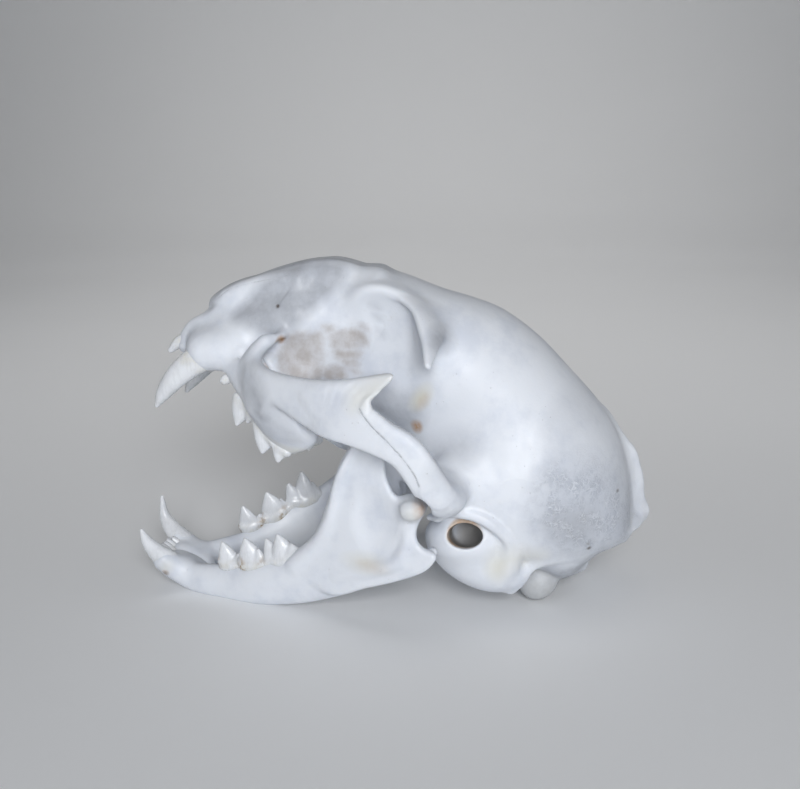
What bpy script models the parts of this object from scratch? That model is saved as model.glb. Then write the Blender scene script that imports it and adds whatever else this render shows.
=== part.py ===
"""Skull of a domestic cat, life size, with its lower jaw wide open, as it rests on a table.

The cranium is shaped in its own frame (mm): x to the animal's left, y back from the incisors,
z up from the line of the upper tooth sockets. The lower jaw is shaped in the resting frame (mm).
Both are then settled on the floor, and the finished pieces are in metres with +Z up.
"""
import bpy
import bmesh
import numpy as np
from mathutils import Matrix

MM = 0.001
GRID = 0.55                # spacing of the samples the surfaces are drawn from
SEAM = 0.3                 # gap between neighbouring pieces
CRANIUM_FACES = 4700       # triangles left in the whole cranium before it is divided
JAW_FACES = 1050           # triangles left in each half of the lower jaw

NOSE_UP = 35.0             # how far the cranium is tipped back, degrees
LEAN = 2.5                 # how far the cranium leans to its right, degrees
SETTLE = 0.9               # how far the whole skull sinks at the back, degrees
FLOOR = 2.0                # height the feet are worn flat at
PIVOT = (64.0, 18.0)       # cranium y and -z that the tipping turns about
LEAN_HEIGHT = 40.0

BONE = (0.80, 0.81, 0.82)
BONE_DENSE = (0.84, 0.85, 0.86)
BONE_GREY = (0.74, 0.75, 0.77)
BONE_ROUGHNESS = 0.55


# ---------------------------------------------------------------- shapes as fields of distance

def smooth_min(a, b, blend):
    """The lower of two fields, with a fillet about blend wide."""
    if blend <= 0:
        return np.minimum(a, b)
    near = np.maximum(blend - np.abs(a - b), 0) / blend
    return np.minimum(a, b) - near * near * blend / 4


def curve(points, count):
    """count rows read from a smooth curve through the rows of points."""
    p = np.asarray(points, float)
    p = np.vstack([2 * p[0] - p[1], p, 2 * p[-1] - p[-2]])
    u = np.linspace(0, len(p) - 3 - 1e-9, count)
    i = u.astype(int)
    t = (u - i)[:, None]
    a, b, c, d = p[i], p[i + 1], p[i + 2], p[i + 3]
    return b + t * (c - a) / 2 + t * t * (a - 2.5 * b + 2 * c - d / 2) + t ** 3 * (1.5 * (b - c) + (d - a) / 2)


def turned(pitch=0.0, yaw=0.0):
    """Rotation about x by pitch, then about z by yaw (degrees)."""
    p, w = np.radians([pitch, yaw])
    about_x = np.array([[1, 0, 0], [0, np.cos(p), -np.sin(p)], [0, np.sin(p), np.cos(p)]])
    about_z = np.array([[np.cos(w), -np.sin(w), 0], [np.sin(w), np.cos(w), 0], [0, 0, 1]])
    return about_z @ about_x


def ball(centre, radii, turn=np.eye(3)):
    """An ellipsoid."""
    c, r = np.asarray(centre, float), np.asarray(radii, float)
    reach = np.sqrt((turn * turn) @ (r * r))

    def distance(x, y, z):
        first = second = 0
        for n in range(3):
            q = ((x - c[0]) * turn[0, n] + (y - c[1]) * turn[1, n] + (z - c[2]) * turn[2, n]) / r[n]
            first = first + q * q
            second = second + (q / r[n]) ** 2
        first = np.sqrt(first)
        return first * (first - 1) / np.sqrt(second + 1e-9)
    return c - reach, c + reach, distance


def bar(points, sizes, side=(1, 0, 0), count=28, square=2.0):
    """A tapering rod through points. A size is its radius, or its radii along side and across it.

    Its section is an ellipse, or with square above 2 a flatter-sided one.
    """
    sizes = [s if hasattr(s, "__len__") else (s, s) for s in sizes]
    rows = curve(np.hstack([np.asarray(points, float), np.asarray(sizes, float)]), count)
    p, s = rows[:, :3], np.maximum(rows[:, 3:], 0.05)
    side = np.asarray(side, float)

    def distance(x, y, z):
        out = np.full(np.broadcast_shapes(x.shape, y.shape, z.shape), 9.0, np.float32)
        flat = [x.ravel(), y.ravel(), z.ravel()]
        for a, b, sa, sb in zip(p[:-1], p[1:], s[:-1], s[1:]):
            pad = max(sa.max(), sb.max()) + 3
            low, high = np.minimum(a, b) - pad, np.maximum(a, b) + pad
            part = tuple(slice(*np.searchsorted(axis, (l, h))) for axis, l, h in zip(flat, low, high))
            if out[part].size == 0:
                continue
            length = np.linalg.norm(b - a)
            along = (b - a) / length
            u = side - along * (side @ along)
            u = u / np.linalg.norm(u)
            v = np.cross(along, u)
            d = [flat[0][part[0]][:, None, None] - a[0], flat[1][part[1]][None, :, None] - a[1],
                 flat[2][part[2]][None, None, :] - a[2]]
            dt, du, dv = (d[0] * w[0] + d[1] * w[1] + d[2] * w[2] for w in (along, u, v))
            t = np.clip(dt / length, 0, 1)
            over = dt - t * length
            ru, rv = sa[0] + t * (sb[0] - sa[0]), sa[1] + t * (sb[1] - sa[1])
            ro = np.minimum(ru, rv)
            first = sum(np.abs(d / r) ** square for d, r in ((du, ru), (dv, rv), (over, ro))) ** (1 / square)
            second = np.sqrt((du / ru ** 2) ** 2 + (dv / rv ** 2) ** 2 + (over / ro ** 2) ** 2)
            out[part] = np.minimum(out[part], first * (first - 1) / np.maximum(second, 1e-6))
        return out
    return p.min(0) - s.max(), p.max(0) + s.max(), distance


def loft(stations):
    """A body along y, even about x = 0. A station is y, half width, top, bottom, squareness."""
    s = np.asarray(stations, float)
    rows = curve(s, 12 * len(s))

    def distance(x, y, z):
        w, top, bottom, n = (np.interp(y.ravel(), rows[:, 0], rows[:, k]).reshape(y.shape) for k in (1, 2, 3, 4))
        half = np.maximum((top - bottom) / 2, 0.2)
        ax, az = np.abs(x), np.abs(z - (top + bottom) / 2)
        rho = ((ax / w) ** n + (az / half) ** n) ** (1 / n)
        d = np.where(rho < 0.05, -np.minimum(w, half), np.sqrt(ax * ax + az * az) * (1 - 1 / np.maximum(rho, 1e-3)))
        out = np.maximum(np.maximum(s[0, 0] - y, y - s[-1, 0]), 0)
        return np.where(out > 0, np.hypot(np.maximum(d, 0), out), d)
    low = (-s[:, 1].max(), s[0, 0], s[:, 3].min())
    high = (s[:, 1].max(), s[-1, 0], s[:, 2].max())
    return np.array(low), np.array(high), distance


def outline_field(points, step=0.2, margin=4.0, count=160):
    """Distance in a plane from a smooth closed outline, as a table, its low corner and its step."""
    p = np.asarray(points, float)
    q = np.vstack([p[-1], p, p[0], p[1]])
    u = np.linspace(0, len(p), count, endpoint=False)
    i = u.astype(int)
    t = (u - i)[:, None]
    a, b, c, d = q[i], q[i + 1], q[i + 2], q[np.minimum(i + 3, len(q) - 1)]
    loop = b + t * (c - a) / 2 + t * t * (a - 2.5 * b + 2 * c - d / 2) + t ** 3 * (1.5 * (b - c) + (d - a) / 2)
    low = loop.min(0) - margin
    shape = np.ceil((loop.max(0) + margin - low) / step).astype(int) + 1
    gx = low[0] + np.arange(shape[0])[:, None] * step
    gy = low[1] + np.arange(shape[1])[None, :] * step
    best, inside = np.full(shape, 1e9), np.zeros(shape, bool)
    for (ax, ay), (bx, by) in zip(loop, np.roll(loop, -1, 0)):
        ex, ey = bx - ax, by - ay
        t = np.clip(((gx - ax) * ex + (gy - ay) * ey) / (ex * ex + ey * ey + 1e-12), 0, 1)
        best = np.minimum(best, (gx - ax - t * ex) ** 2 + (gy - ay - t * ey) ** 2)
        if ay != by:
            inside ^= ((ay > gy) != (by > gy)) & (gx < ex * (gy - ay) / ey + ax)
    return np.where(inside, -1, 1) * np.sqrt(best), low, step


def read(table, p, q):
    """Values of an outline's table at the plane coordinates p and q."""
    grid, low, step = table
    i = np.clip((p - low[0]) / step, 0, grid.shape[0] - 1.001)
    j = np.clip((q - low[1]) / step, 0, grid.shape[1] - 1.001)
    a, b = i.astype(int), j.astype(int)
    i, j = i - a, j - b
    return ((grid[a, b] * (1 - i) + grid[a + 1, b] * i) * (1 - j)
            + (grid[a, b + 1] * (1 - i) + grid[a + 1, b + 1] * i) * j)


def slab(outline, thickness, middle, edge=0.5):
    """An upright plate: outline in (y, z), thickness and the x of its middle as functions of (y, z)."""
    table = outline_field(outline)
    pts = np.asarray(outline, float)
    xs = [float(middle(y, z)) for y, z in pts]
    reach = max(float(thickness(y, z)) for y, z in pts) / 2

    def distance(x, y, z):
        half = thickness(y, z) / 2
        r = np.minimum(edge, half)
        e1, e2 = read(table, y, z) + r, np.abs(x - middle(y, z)) - half + r
        return np.minimum(np.maximum(e1, e2), 0) + np.hypot(np.maximum(e1, 0), np.maximum(e2, 0)) - r
    low = (min(xs) - reach, pts[:, 0].min(), pts[:, 1].min())
    high = (max(xs) + reach, pts[:, 0].max(), pts[:, 1].max())
    return np.array(low), np.array(high), distance


def socket(outline, wall, rim, slope):
    """An eye socket: outline in (y, z) at x = rim, closing in by slope down to the wall's x."""
    table = outline_field(outline)
    pts, w = np.asarray(outline, float), np.asarray(wall, float)

    def distance(x, y, z):
        side = read(table, y, z) + slope * np.maximum(rim - x, 0)
        floor = np.interp(y.ravel(), w[:, 0], w[:, 1]).reshape(y.shape) - x
        return -smooth_min(-side, -floor, 6.0)
    low = (w[:, 1].min(), pts[:, 0].min(), pts[:, 1].min())
    return np.array(low), np.array((36, pts[:, 0].max(), pts[:, 1].max())), distance


class Clay:
    """A block of samples that shapes are added to and cut from."""

    def __init__(self, low, high, step=GRID):
        self.step = step
        self.axes = [np.arange(a, b + step, step, dtype=np.float32) for a, b in zip(low, high)]
        self.field = np.full([len(a) for a in self.axes], 9, np.float32)

    def near(self, low, high, pad):
        part, grid = [], []
        for n, axis in enumerate(self.axes):
            i, j = np.searchsorted(axis, (low[n] - pad, high[n] + pad))
            part.append(slice(i, j))
            grid.append(axis[i:j].reshape([-1 if k == n else 1 for k in range(3)]))
        return tuple(part), grid

    def add(self, shape, blend=1.0):
        part, grid = self.near(shape[0], shape[1], blend + 1)
        if self.field[part].size:
            self.field[part] = smooth_min(self.field[part], shape[2](*grid), blend)

    def cut(self, shape, blend=0.5):
        part, grid = self.near(shape[0], shape[1], blend + 1)
        if self.field[part].size:
            self.field[part] = -smooth_min(-self.field[part], shape[2](*grid), blend)


# ---------------------------------------------------------------- the cranium

VAULT = [  # y, half width, top, bottom, squareness
    (14, 7.0, 26.0, 9, 2.2), (18, 8.2, 28.6, 8, 2.4), (24, 9.2, 31.4, 7.5, 2.7), (30, 10.0, 33.9, 7.5, 2.8),
    (36, 12.6, 36.1, 9, 2.6), (42, 15.2, 38.2, 9.5, 2.3), (48, 16.6, 39.6, 9, 2.1), (56, 19.2, 39.4, 6, 2.05),
    (64, 21.3, 37.9, 3.5, 2.05), (72, 21.4, 36.1, 2.5, 2.05), (78, 19.8, 33.8, 2.5, 2.05),
    (84, 16.7, 29.2, 7, 2.0), (88, 13.0, 24.4, 12, 2.0), (91.2, 7.5, 20.6, 16, 2.0)]
SNOUT = [  # y, z
    (1.6, 8.9), (1.4, 10.4), (2.6, 13.6), (4.1, 15.9), (5.5, 17.5), (6.8, 19.4), (8.4, 21.6), (11.4, 25.2), (14.2, 27.8),
    (16.8, 29.6), (21, 31.0), (26, 31), (26, 8), (14, 3), (6, 1.3), (3.0, 0.6), (1.5, -0.6), (0.5, 0.4), (0.5, 1.9), (0.7, 4.3),
    (1.5, 5.8), (2.9, 7.4), (3.0, 8.6)]
SOCKET_RIM = [
    (18.2, 5.8), (15.6, 7.4), (15.1, 9.6), (15.8, 12.4), (17.2, 16.0), (18.4, 21.0), (19.9, 26.0), (23.0, 29.6),
    (29.0, 31.6), (33.0, 31.2), (36.6, 28.6), (41.0, 24.6), (47, 20), (49, 13), (44, 7), (34, 4.5), (24, 5.2)]
SOCKET_WALL = [(12, 11.6), (17, 11.0), (21, 10.2), (26, 9.6), (31, 9.9), (36, 11.6), (42, 14.2), (50, 17)]
CHEEK_ARCH = [  # x, y, z, half thickness, half height
    (17.0, 18.4, 6.0, 1.8, 1.8), (20.8, 22.4, 7.4, 1.8, 2.6), (24.2, 26.8, 9.0, 1.6, 3.8), (27.4, 31.2, 10.9, 1.4, 4.7),
    (29.6, 35.6, 12.0, 1.3, 3.9), (31.2, 40.5, 12.8, 1.25, 3.0), (31.6, 44.8, 13.3, 1.35, 2.9),
    (31.3, 49, 12.0, 1.45, 2.9), (29.8, 53, 10.2, 1.6, 3.0), (26.4, 56.0, 9.2, 1.9, 2.6), (20.2, 57.0, 9.4, 2.0, 2.6)]
BESIDE_EYE = [(26.0, 10.0), (28.6, 14.6), (30.8, 17.2), (33.2, 19.9), (35.6, 22.4), (36.5, 21.9), (35.9, 18.6),
              (35.4, 15.6), (36.4, 12.5), (31, 9)]
TOP_CREST = [(78, 30), (74.5, 34.2), (79.4, 33.4), (83.7, 32.6), (86.2, 30.9), (88.6, 28.9), (91.4, 25.6), (93.2, 23.4), (91.6, 21.4),
             (86, 24)]
CREST_TOP = [(79, 84, 88.6, 91.4, 93.2), (33.4, 32.6, 28.9, 25.6, 23.4)]      # y, z of its edge
ALONG_EAR = (0, 0.82, 0.57)


def braincase(c):
    c.add(loft(VAULT), 0)
    c.add(ball((8, 66, 14), (14.2, 19, 12.5)), 4)


def face(c):
    # snout: nasal bones over the bone that holds the front teeth
    c.add(slab(SNOUT, lambda y, z: 9.6 + 0.5 * y - 0.22 * np.maximum(z - 10, 0), lambda y, z: 0 * y, edge=3.2), 2)
    c.add(bar([(4.6, 4.1, 9.6), (4.5, 3.8, 7.2), (4.2, 2.6, 5.2), (4.0, 1.9, 3.6), (4.2, 1.9, 1.4), (4.6, 2.6, -0.2)],
              [0.8, 0.9, 1.0, 1.1, 1.3, 1.4]), 0.8)
    c.add(bar([(4.6, 4.0, 12.0), (5.0, 6.0, 15.6), (5.6, 9.0, 19.0), (6.4, 13.0, 22.6)], [0.8, 1.0, 1.2, 1.4]), 2.5)
    c.add(bar([(0, 6, 6), (0, 16, 7), (0, 28, 7), (0, 40, 8.5), (0, 52, 7), (0, 62, 7)],
              [(5.5, 5), (7.5, 6), (7.5, 6), (6.5, 6), (6.4, 4.6), (7.5, 4.6)]), 2)
    c.add(bar([(5.2, 8.5, 6), (6.0, 12.5, 11), (6.5, 17, 17)], [4.0, 4.2, 4.0]), 3)
    # brow over the eye sockets, running out into a pointed process
    c.add(ball((0, 33.5, 27.2), (20.5, 12.5, 7.2)), 2.5)
    c.add(bar([(12.0, 34.5, 29.8), (17.0, 37.0, 29.7), (21.3, 39.0, 28.1), (24.4, 40.4, 25.8)],
              [(5.0, 1.8), (3.2, 1.1), (1.7, 0.65), (0.5, 0.4)], side=(0, 1, 0.2)), 3)
    # bone that holds the upper teeth
    c.add(bar([(4.0, 3.4, 3.0), (7.6, 6.9, 2.7), (9.6, 11.6, 4.2), (11.6, 16.6, 3.6), (13.8, 22.6, 2.4), (15.0, 28.2, 0.4)],
              [(2.2, 2.4), (3.4, 2.9), (2.6, 2.9), (2.4, 3.4), (2.3, 3.4), (2.0, 2.9)]), 2.2)
    c.add(bar([(13.4, 15.4, 5.6), (15.8, 18.8, 4.4), (18.0, 23.0, 3.8), (20.4, 27.6, 5.2)],
              [(1.6, 2.8), (2.0, 3.6), (2.0, 3.8), (1.5, 3.4)], side=(0.85, -0.35, -0.55)), 4)
    c.add(bar([(16.0, 21.0, 1.8), (17.0, 25.5, 1.6), (17.4, 29.4, 3.4)], [1.4, 1.8, 1.4]), 4)
    c.add(bar([(8.7, 6.6, 1.6), (8.5, 9.6, 5.6), (7.8, 13.2, 10)], [3.0, 2.7, 1.4]), 2.5)
    # front root of the cheek arch
    c.add(bar([(13.4, 15.2, 11.0), (14.6, 15.6, 8.4), (15.6, 17.4, 5.8), (19.2, 22, 5.8)],
              [(1.0, 1.2), (1.4, 2.0), (1.7, 3.0), (2.0, 4.4)], side=(1, -0.5, 0)), 1.5)
    c.add(slab([(23.6, -1.0), (28.8, -3.4), (31.9, 0.2), (31.8, 3.9), (28, 6.5), (23, 4)], lambda y, z: 2.6 + 0 * y,
               lambda y, z: 15.2 + 0.1 * (y - 24) + 0.5 * z, edge=0.7), 3)
    c.cut(socket(SOCKET_RIM, SOCKET_WALL, rim=13.0, slope=0.7), 2.2)
    # rim of the socket at the front and along the brow
    c.add(bar([(11.4, 16.7, 13.4), (13.0, 15.2, 11.2), (14.5, 14.8, 8.8), (15.9, 15.9, 7.0), (18.2, 18.6, 6.9),
               (21.2, 22.8, 8.4), (24, 26.4, 10.4)], [0.3, 0.4, 0.5, 0.6, 0.7, 0.8, 0.8]), 2.8)
    c.add(bar([(11.4, 29.6, 31.2), (15.2, 34.0, 31.4), (19.8, 37.6, 29.2), (24.3, 40.2, 26.1)],
              [(0.6, 0.2), (0.9, 0.3), (0.8, 0.35), (0.45, 0.4)], side=(-0.85, 0.45, 0.25)), 1.3)
    # palate
    c.add(bar([(0, 4, 1.6), (0, 20, 1.8), (0, 37, 1.6)], [(5, 1.2), (11, 1.2), (8, 1.2)]), 1)


def cheek_arch(c):
    rows = np.array(CHEEK_ARCH)
    c.add(bar(rows[:, :3], rows[:, 3:], count=44, square=3.0), 2.0)
    c.add(ball((19.0, 57.4, 12.6), (3.4, 5.2, 3.6)), 3)
    # process behind the eye socket
    c.add(slab(BESIDE_EYE, lambda y, z: 1.9 + 0 * y, lambda y, z: 26.6 + 0.42 * (y - 30) + 0.12 * (z - 10), edge=0.8), 1.5)
    # hollow that the jaw hinges in, and the lip behind it
    c.add(ball((24, 54.4, 9.8), (6.6, 5.0, 3.1)), 2)
    c.add(bar([(22, 57.4, 7.4), (21.2, 57.3, 5.2), (21, 56.4, 3.8)], [(3.6, 1.4), (2.4, 0.9), (0.8, 0.5)]), 1)
    c.cut(bar([(14.5, 52.9, 5.4), (31.5, 52.3, 5.4)], [2.9, 2.9]), 0.4)


def underside(c):
    # walls of the passage behind the palate
    c.add(bar([(0, 33, 4.6), (0, 40, 5.0), (0, 50, 5.2), (0, 55, 6)], [(7.4, 4.4), (6.8, 5.2), (6.4, 5.4), (6.4, 3)]), 1.5)
    c.add(bar([(5.6, 47, 1.5), (5.8, 51.5, -0.6), (6.0, 53.4, -2.0)], [(0.8, 2.4), (0.8, 1.2), (0.7, 0.7)]), 1)
    c.cut(bar([(0, 37.0, 3.4), (0, 41, 3.2), (0, 47, 1.8), (0, 56, -1.5)],
              [(4.6, 2.6), (4.9, 3.6), (4.9, 4.6), (4.9, 4.6)]), 1)
    # ear capsule and the lip of bone over it
    c.add(ball((13.2, 68.6, 1.4), (6.4, 10.2, 6.2), turned(pitch=9, yaw=-10)), 1)
    c.add(bar([(18.2, 58.0, 4.8), (20.4, 60.0, 7.2), (21.4, 62.8, 8.9), (21.6, 66.2, 9.3), (20.8, 69.6, 8.6),
               (19.4, 72.2, 6.6)], [0.8, 1.0, 1.1, 1.1, 1.0, 0.8]), 1.0)
    # swelling around the ear opening, and the opening
    c.add(ball((15.6, 65.0, 3.5), (6.0, 7.4, 5.0), turned(pitch=35)), 1.8)
    c.add(bar([(18, 71.4, 7.4), (18.2, 73.2, 4.4), (17.4, 74.0, 1.2)], [2.2, 2.0, 1.1]), 1.5)
    c.cut(bar([(23, 63.1, 4.5), (19.4, 63.8, 4.5), (15.5, 65.0, 3.8), (9.5, 66.0, 3.4)],
              [(3.3, 2.4), (3.1, 2.2), (3.2, 2.6), (3.6, 3.2)], side=ALONG_EAR), 0.25)


def occiput(c):
    c.add(ball((0, 83, 10), (14, 5.5, 7.6)), 3)
    # crests: a ridge across the back that ends in a point behind each ear, and one along the top
    c.add(bar([(0, 91.2, 22.8), (4.2, 90.8, 21.2), (7.4, 89.1, 19.1), (10.2, 86.7, 16.8), (12.6, 83.7, 14.1),
               (14.4, 80.6, 11.0), (15.4, 78.2, 8.4), (15.7, 77.2, 5.2), (15.3, 77.2, 1.8), (14.9, 77.6, -0.3)],
              [(1.9, 1.0), (1.9, 0.9), (1.8, 0.8), (1.7, 0.8), (1.6, 0.8), (1.5, 0.8), (1.3, 0.8), (1.1, 0.8),
               (0.9, 0.7), (0.6, 0.6)], side=(0.3, 0.8, 0.5), count=44), 1.8)
    c.add(slab(TOP_CREST, lambda y, z: 1.6 + 1.3 * np.clip(np.interp(y, *CREST_TOP) - z, 0, 7), lambda y, z: 0 * y), 3)
    # knobs that bore on the neck, the opening between them and its upper rim
    c.add(ball((8.4, 82.2, 2.7), (3.3, 3.6, 4.2), turned(yaw=-20)), 0.8)
    c.add(bar([(0, 88.8, 8.9), (3.2, 88.3, 8.2), (5.4, 85.6, 5.8), (7.4, 82.8, 3.6)], [1.4, 1.4, 1.2, 1.2]), 1.5)
    c.cut(bar([(0, 93, -1.8), (0, 84, 2.6), (0, 75, 6.6)], [(6.2, 4.7), (5.9, 4.6), (5, 4)]), 0.8)


def nostril(c):
    c.cut(bar([(0, -2, 4.8), (0, 4, 5.6), (0, 9, 8), (0, 16, 12)], [(3.6, 3.4), (3.7, 3.5), (3.4, 3.6), (3, 3.6)]), 0.5)
    # thin wall that parts the two nostrils
    c.add(slab([(5.5, 1.6), (4.6, 4.0), (6.0, 8.0), (9.0, 13.0), (18, 17), (18, 6), (12, 2)], lambda y, z: 0.9 + 0 * y,
               lambda y, z: 0 * y, edge=0.3), 0.4)
    # canal under the rim of the eye socket
    c.cut(bar([(12.7, 12.6, 7.0), (12.9, 15.5, 7.0), (13.8, 21, 8)], [(0.9, 1.4), (0.9, 1.6), (1.6, 1.8)]), 0.5)


# ---------------------------------------------------------------- teeth

def cusp(c, base, tip, wide, long, blend=0.5):
    """A cone from base to tip, wide and long (half measures) across and along the row of teeth."""
    base, tip = np.array(base, float), np.array(tip, float)
    middle = base + 0.55 * (tip - base)
    c.add(bar([base, middle, tip], [(wide, long), (0.76 * wide, 0.66 * long), (0.32, 0.4)], count=12), blend)


def canines(c):
    for sign, back in ((1, 0.0), (-1, 1.2)):
        c.add(bar([(sign * 9.3, 7.4 + 0.5 * back, 2.2), (sign * 9.8, 5.9 + 0.7 * back, -1.0),
                   (sign * 9.8, 4.95 + back, -4.7), (sign * 9.4, 4.6 + back, -8.6), (sign * 9.0, 4.8 + back, -11.6)],
                  [(1.9, 2.8), (1.8, 2.5), (1.6, 2.1), (1.2, 1.45), 0.45]), 0.3)


def upper_teeth(c):
    for x, y, r, tip in ((1.1, 0.9, 0.8, -2.0), (2.7, 1.0, 0.85, -2.0), (4.4, 1.1, 1.15, -2.6)):
        c.add(bar([(x, y + 1.0, 1.5), (x, y, -0.6), (x, y - 0.4, tip)], [r, 0.95 * r, 0.5 * r]), 0.3)
    c.add(bar([(10.5, 13.2, 1.4), (10.5, 12.7, 0.2), (10.4, 12.4, -0.4)], [(0.8, 0.9), (0.75, 0.9), 0.4]), 0.3)
    # second front cheek tooth
    c.add(bar([(11.5, 17.2, -0.1), (11.9, 18.4, -0.5), (12.8, 20.6, -1.6)], [(1.0, 0.8), (1.4, 1.2), (1.2, 1.1)]), 0.4)
    cusp(c, (11.9, 17.9, -0.2), (12.1, 19.1, -4.9), 1.4, 2.5)
    cusp(c, (12.8, 20.3, -1.4), (12.9, 20.5, -3.1), 0.9, 1.1)
    # shearing tooth
    c.add(bar([(13.2, 21.2, -1.2), (14.4, 24.2, -1.6), (15.2, 27.2, -2.4), (15.6, 29.6, -2.8)],
              [(1.2, 1.0), (1.5, 1.5), (1.4, 1.4), (1.1, 0.9)]), 0.4)
    cusp(c, (13.3, 21.6, -1.2), (13.3, 22.4, -3.0), 1.0, 1.2)
    cusp(c, (14.3, 24.0, -1.3), (14.4, 25.9, -5.8), 1.4, 2.8)
    cusp(c, (15.4, 28.0, -2.4), (15.6, 29.1, -5.1), 1.0, 1.8)
    cusp(c, (12.2, 22.4, 0.2), (12.2, 22.6, -2.4), 1.1, 1.1)
    # last small tooth, across the row
    c.add(bar([(14.2, 31.4, 0.8), (12.0, 32.8, 1.4)], [1.1, 1.0]), 0.4)
    cusp(c, (14.2, 31.9, 1.4), (14.6, 32.4, -0.3), 0.7, 0.8)
    cusp(c, (12.6, 32.4, 1.4), (12.2, 32.6, -0.4), 0.8, 0.9)


def lower_teeth(c, side=1):
    for x, y in ((0.95, -47.6), (2.3, -47.4), (3.5, -46.6)):
        c.add(bar([(x, y + 1.8, 6.4), (x, y + 0.3, 7.9), (x, y - 0.1, 8.6)], [(0.6, 0.9), (0.62, 0.8), (0.58, 0.35)]), 0.3)
    lean, rise = (0.0, 0.0) if side > 0 else (0.5, 1.2)
    tip = (7.8, -49.6, 14.3) if side > 0 else (7.6, -49.8, 16.0)
    c.add(bar([(5.2, -43.6, 5.8), (5.7, -45.2, 7.2), (6.7, -47.4 - lean, 9.6), (7.4, -48.9 - lean, 12.1), tip],
              [(1.4, 1.6), (1.85, 2.2), (1.4, 1.7), (0.95, 1.05), 0.35]), 0.3)
    c.add(bar([(9.5, -33.6, 9.2), (9.9, -31.8, 8.6), (10.5, -29.9, 9.4)], [(1.0, 0.9), (1.3, 1.3), (1.0, 0.8)]), 0.4)
    cusp(c, (9.9, -32.0, 8.6), (9.7, -33.4, 12.7 + 0.5 * rise), 1.2, 2.3)
    cusp(c, (10.4, -30.4, 9.0), (10.6, -30.2, 10.8), 0.9, 1.0)
    c.add(bar([(11.1, -29.5, 9.8), (11.9, -26.8, 9.3), (12.9, -23.8, 10.7)], [(1.1, 0.9), (1.5, 1.5), (1.1, 1.0)]), 0.4)
    cusp(c, (11.8, -27.2, 9.6), (11.6, -28.7, 14.3 + 0.5 * rise), 1.3, 2.8)
    cusp(c, (12.5, -25.4, 10.1), (12.5, -26.0, 12.5), 1.0, 1.3)
    cusp(c, (12.9, -24.0, 10.5), (12.9, -24.3, 11.9), 0.9, 0.9)
    c.add(bar([(13.0, -23.4, 11.4), (13.9, -20.9, 11.0), (15.0, -18.0, 13.1)], [(1.3, 1.1), (1.6, 1.6), (1.1, 1.1)]), 0.4)
    cusp(c, (13.3, -22.9, 11.4), (13.0, -24.3, 14.8 + 0.4 * rise), 1.1, 1.9)
    cusp(c, (14.0, -20.6, 11.8), (13.9, -22.0 + 0.4 * rise, 16.1 + rise), 1.4, 2.6)
    cusp(c, (14.7, -19.0, 12.8), (14.6, -19.4, 14.6 + 0.4 * rise), 1.0, 1.5)


# ---------------------------------------------------------------- the lower jaw

JAW_BODY = [  # x, y, z, half width, half height
    (3.0, -44.6, 5.5, 2.2, 2.1), (6.0, -40, 4.1, 2.1, 2.9), (8.9, -33, 4.5, 2.1, 3.5), (10.9, -28.5, 5.0, 2.2, 3.9),
    (12.4, -25, 5.8, 2.2, 4.3), (14.8, -18, 7.8, 2.3, 4.7), (17.4, -11, 10.7, 1.9, 4.8), (20.4, -4, 13.6, 1.4, 4.1),
    (22.4, 1.5, 15.3, 1.2, 3.3)]
JAW_BRANCH = [  # y, z
    (-18.5, 12), (-14.4, 17.0), (-12.0, 22.4), (-10.4, 28), (-8.8, 32.5), (-6.2, 37.2), (-3.6, 39.8), (-1.8, 38.8),
    (-1.4, 34.5), (-1.0, 30.5), (0.8, 27.4), (3.9, 27.2), (4.2, 23.4), (4.1, 20.6), (5.2, 18.8), (7.4, 17.9),
    (7.4, 16.6), (5.3, 14.2), (0.5, 11.7), (-5, 9.4), (-12, 6.8)]


def jaw_bone(c):
    rows = np.array(JAW_BODY)
    c.add(bar(rows[:, :3], rows[:, 3:], count=40), 0)
    c.add(ball((2.0, -42.2, 4.5), (2.8, 4.8, 2.5), turned(pitch=-25)), 2)
    c.add(bar([(4.4, -41.0, 4.2), (5.5, -43.8, 5.8), (6.1, -46.0, 7.6)], [(2.5, 2.2), (2.35, 2.45), (2.1, 2.2)]), 1.5)
    c.add(slab(JAW_BRANCH, lambda y, z: 2.1 + 0 * y, lambda y, z: 23.2 + 0.36 * y - 0.004 * y * y, edge=0.9), 1.2)
    c.add(bar([(15.6, -18.4, 11.4), (17.3, -13.3, 17.2), (18.7, -10.8, 24), (19.7, -8.7, 31), (20.6, -6.0, 36.0)],
              [1.5, 1.5, 1.3, 1.1, 0.8]), 1.5)
    # hinge and its neck
    c.add(bar([(18.4, 4.6, 25.2), (23.5, 3.7, 25.9), (27.2, 3.3, 26.2)], [(1.5, 1.3), (2.3, 1.8), (2.2, 1.75)],
              side=(0, 1, 0)), 2.0)
    c.add(bar([(22.6, -1, 22), (23.4, 2.8, 24.6)], [(1.4, 2.4), (2.0, 2.0)]), 1.6)
    # hooked angle of the jaw
    c.add(bar([(22.2, 0.5, 14.1), (23.2, 4.5, 15.9), (23.5, 7.0, 17.3)], [(1.2, 2.0), (1.2, 1.6), 0.8]), 1)
    # hollow for the chewing muscle and the ridge under it
    c.add(bar([(18.9, -10, 11.0), (22.1, -3.7, 13.5), (23.9, 0.3, 15.3), (24.7, 2.3, 18.6), (24.3, 2.9, 22.4)],
              [1.3, 1.4, 1.3, 1.0, 0.9]), 1.0)
    c.cut(ball((25.4, -4.4, 22.6), (3.5, 6.9, 9.0), turned(yaw=-20)), 0.4)
    c.add(bar([(17.4, -14.6, 15.6), (19.4, -11.7, 21.6), (20.4, -10.2, 28.0), (21.2, -8.9, 31.6), (21.9, -6.4, 36.4)],
              [0.7, 0.7, 0.7, 0.65, 0.6]), 0.7)


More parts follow.
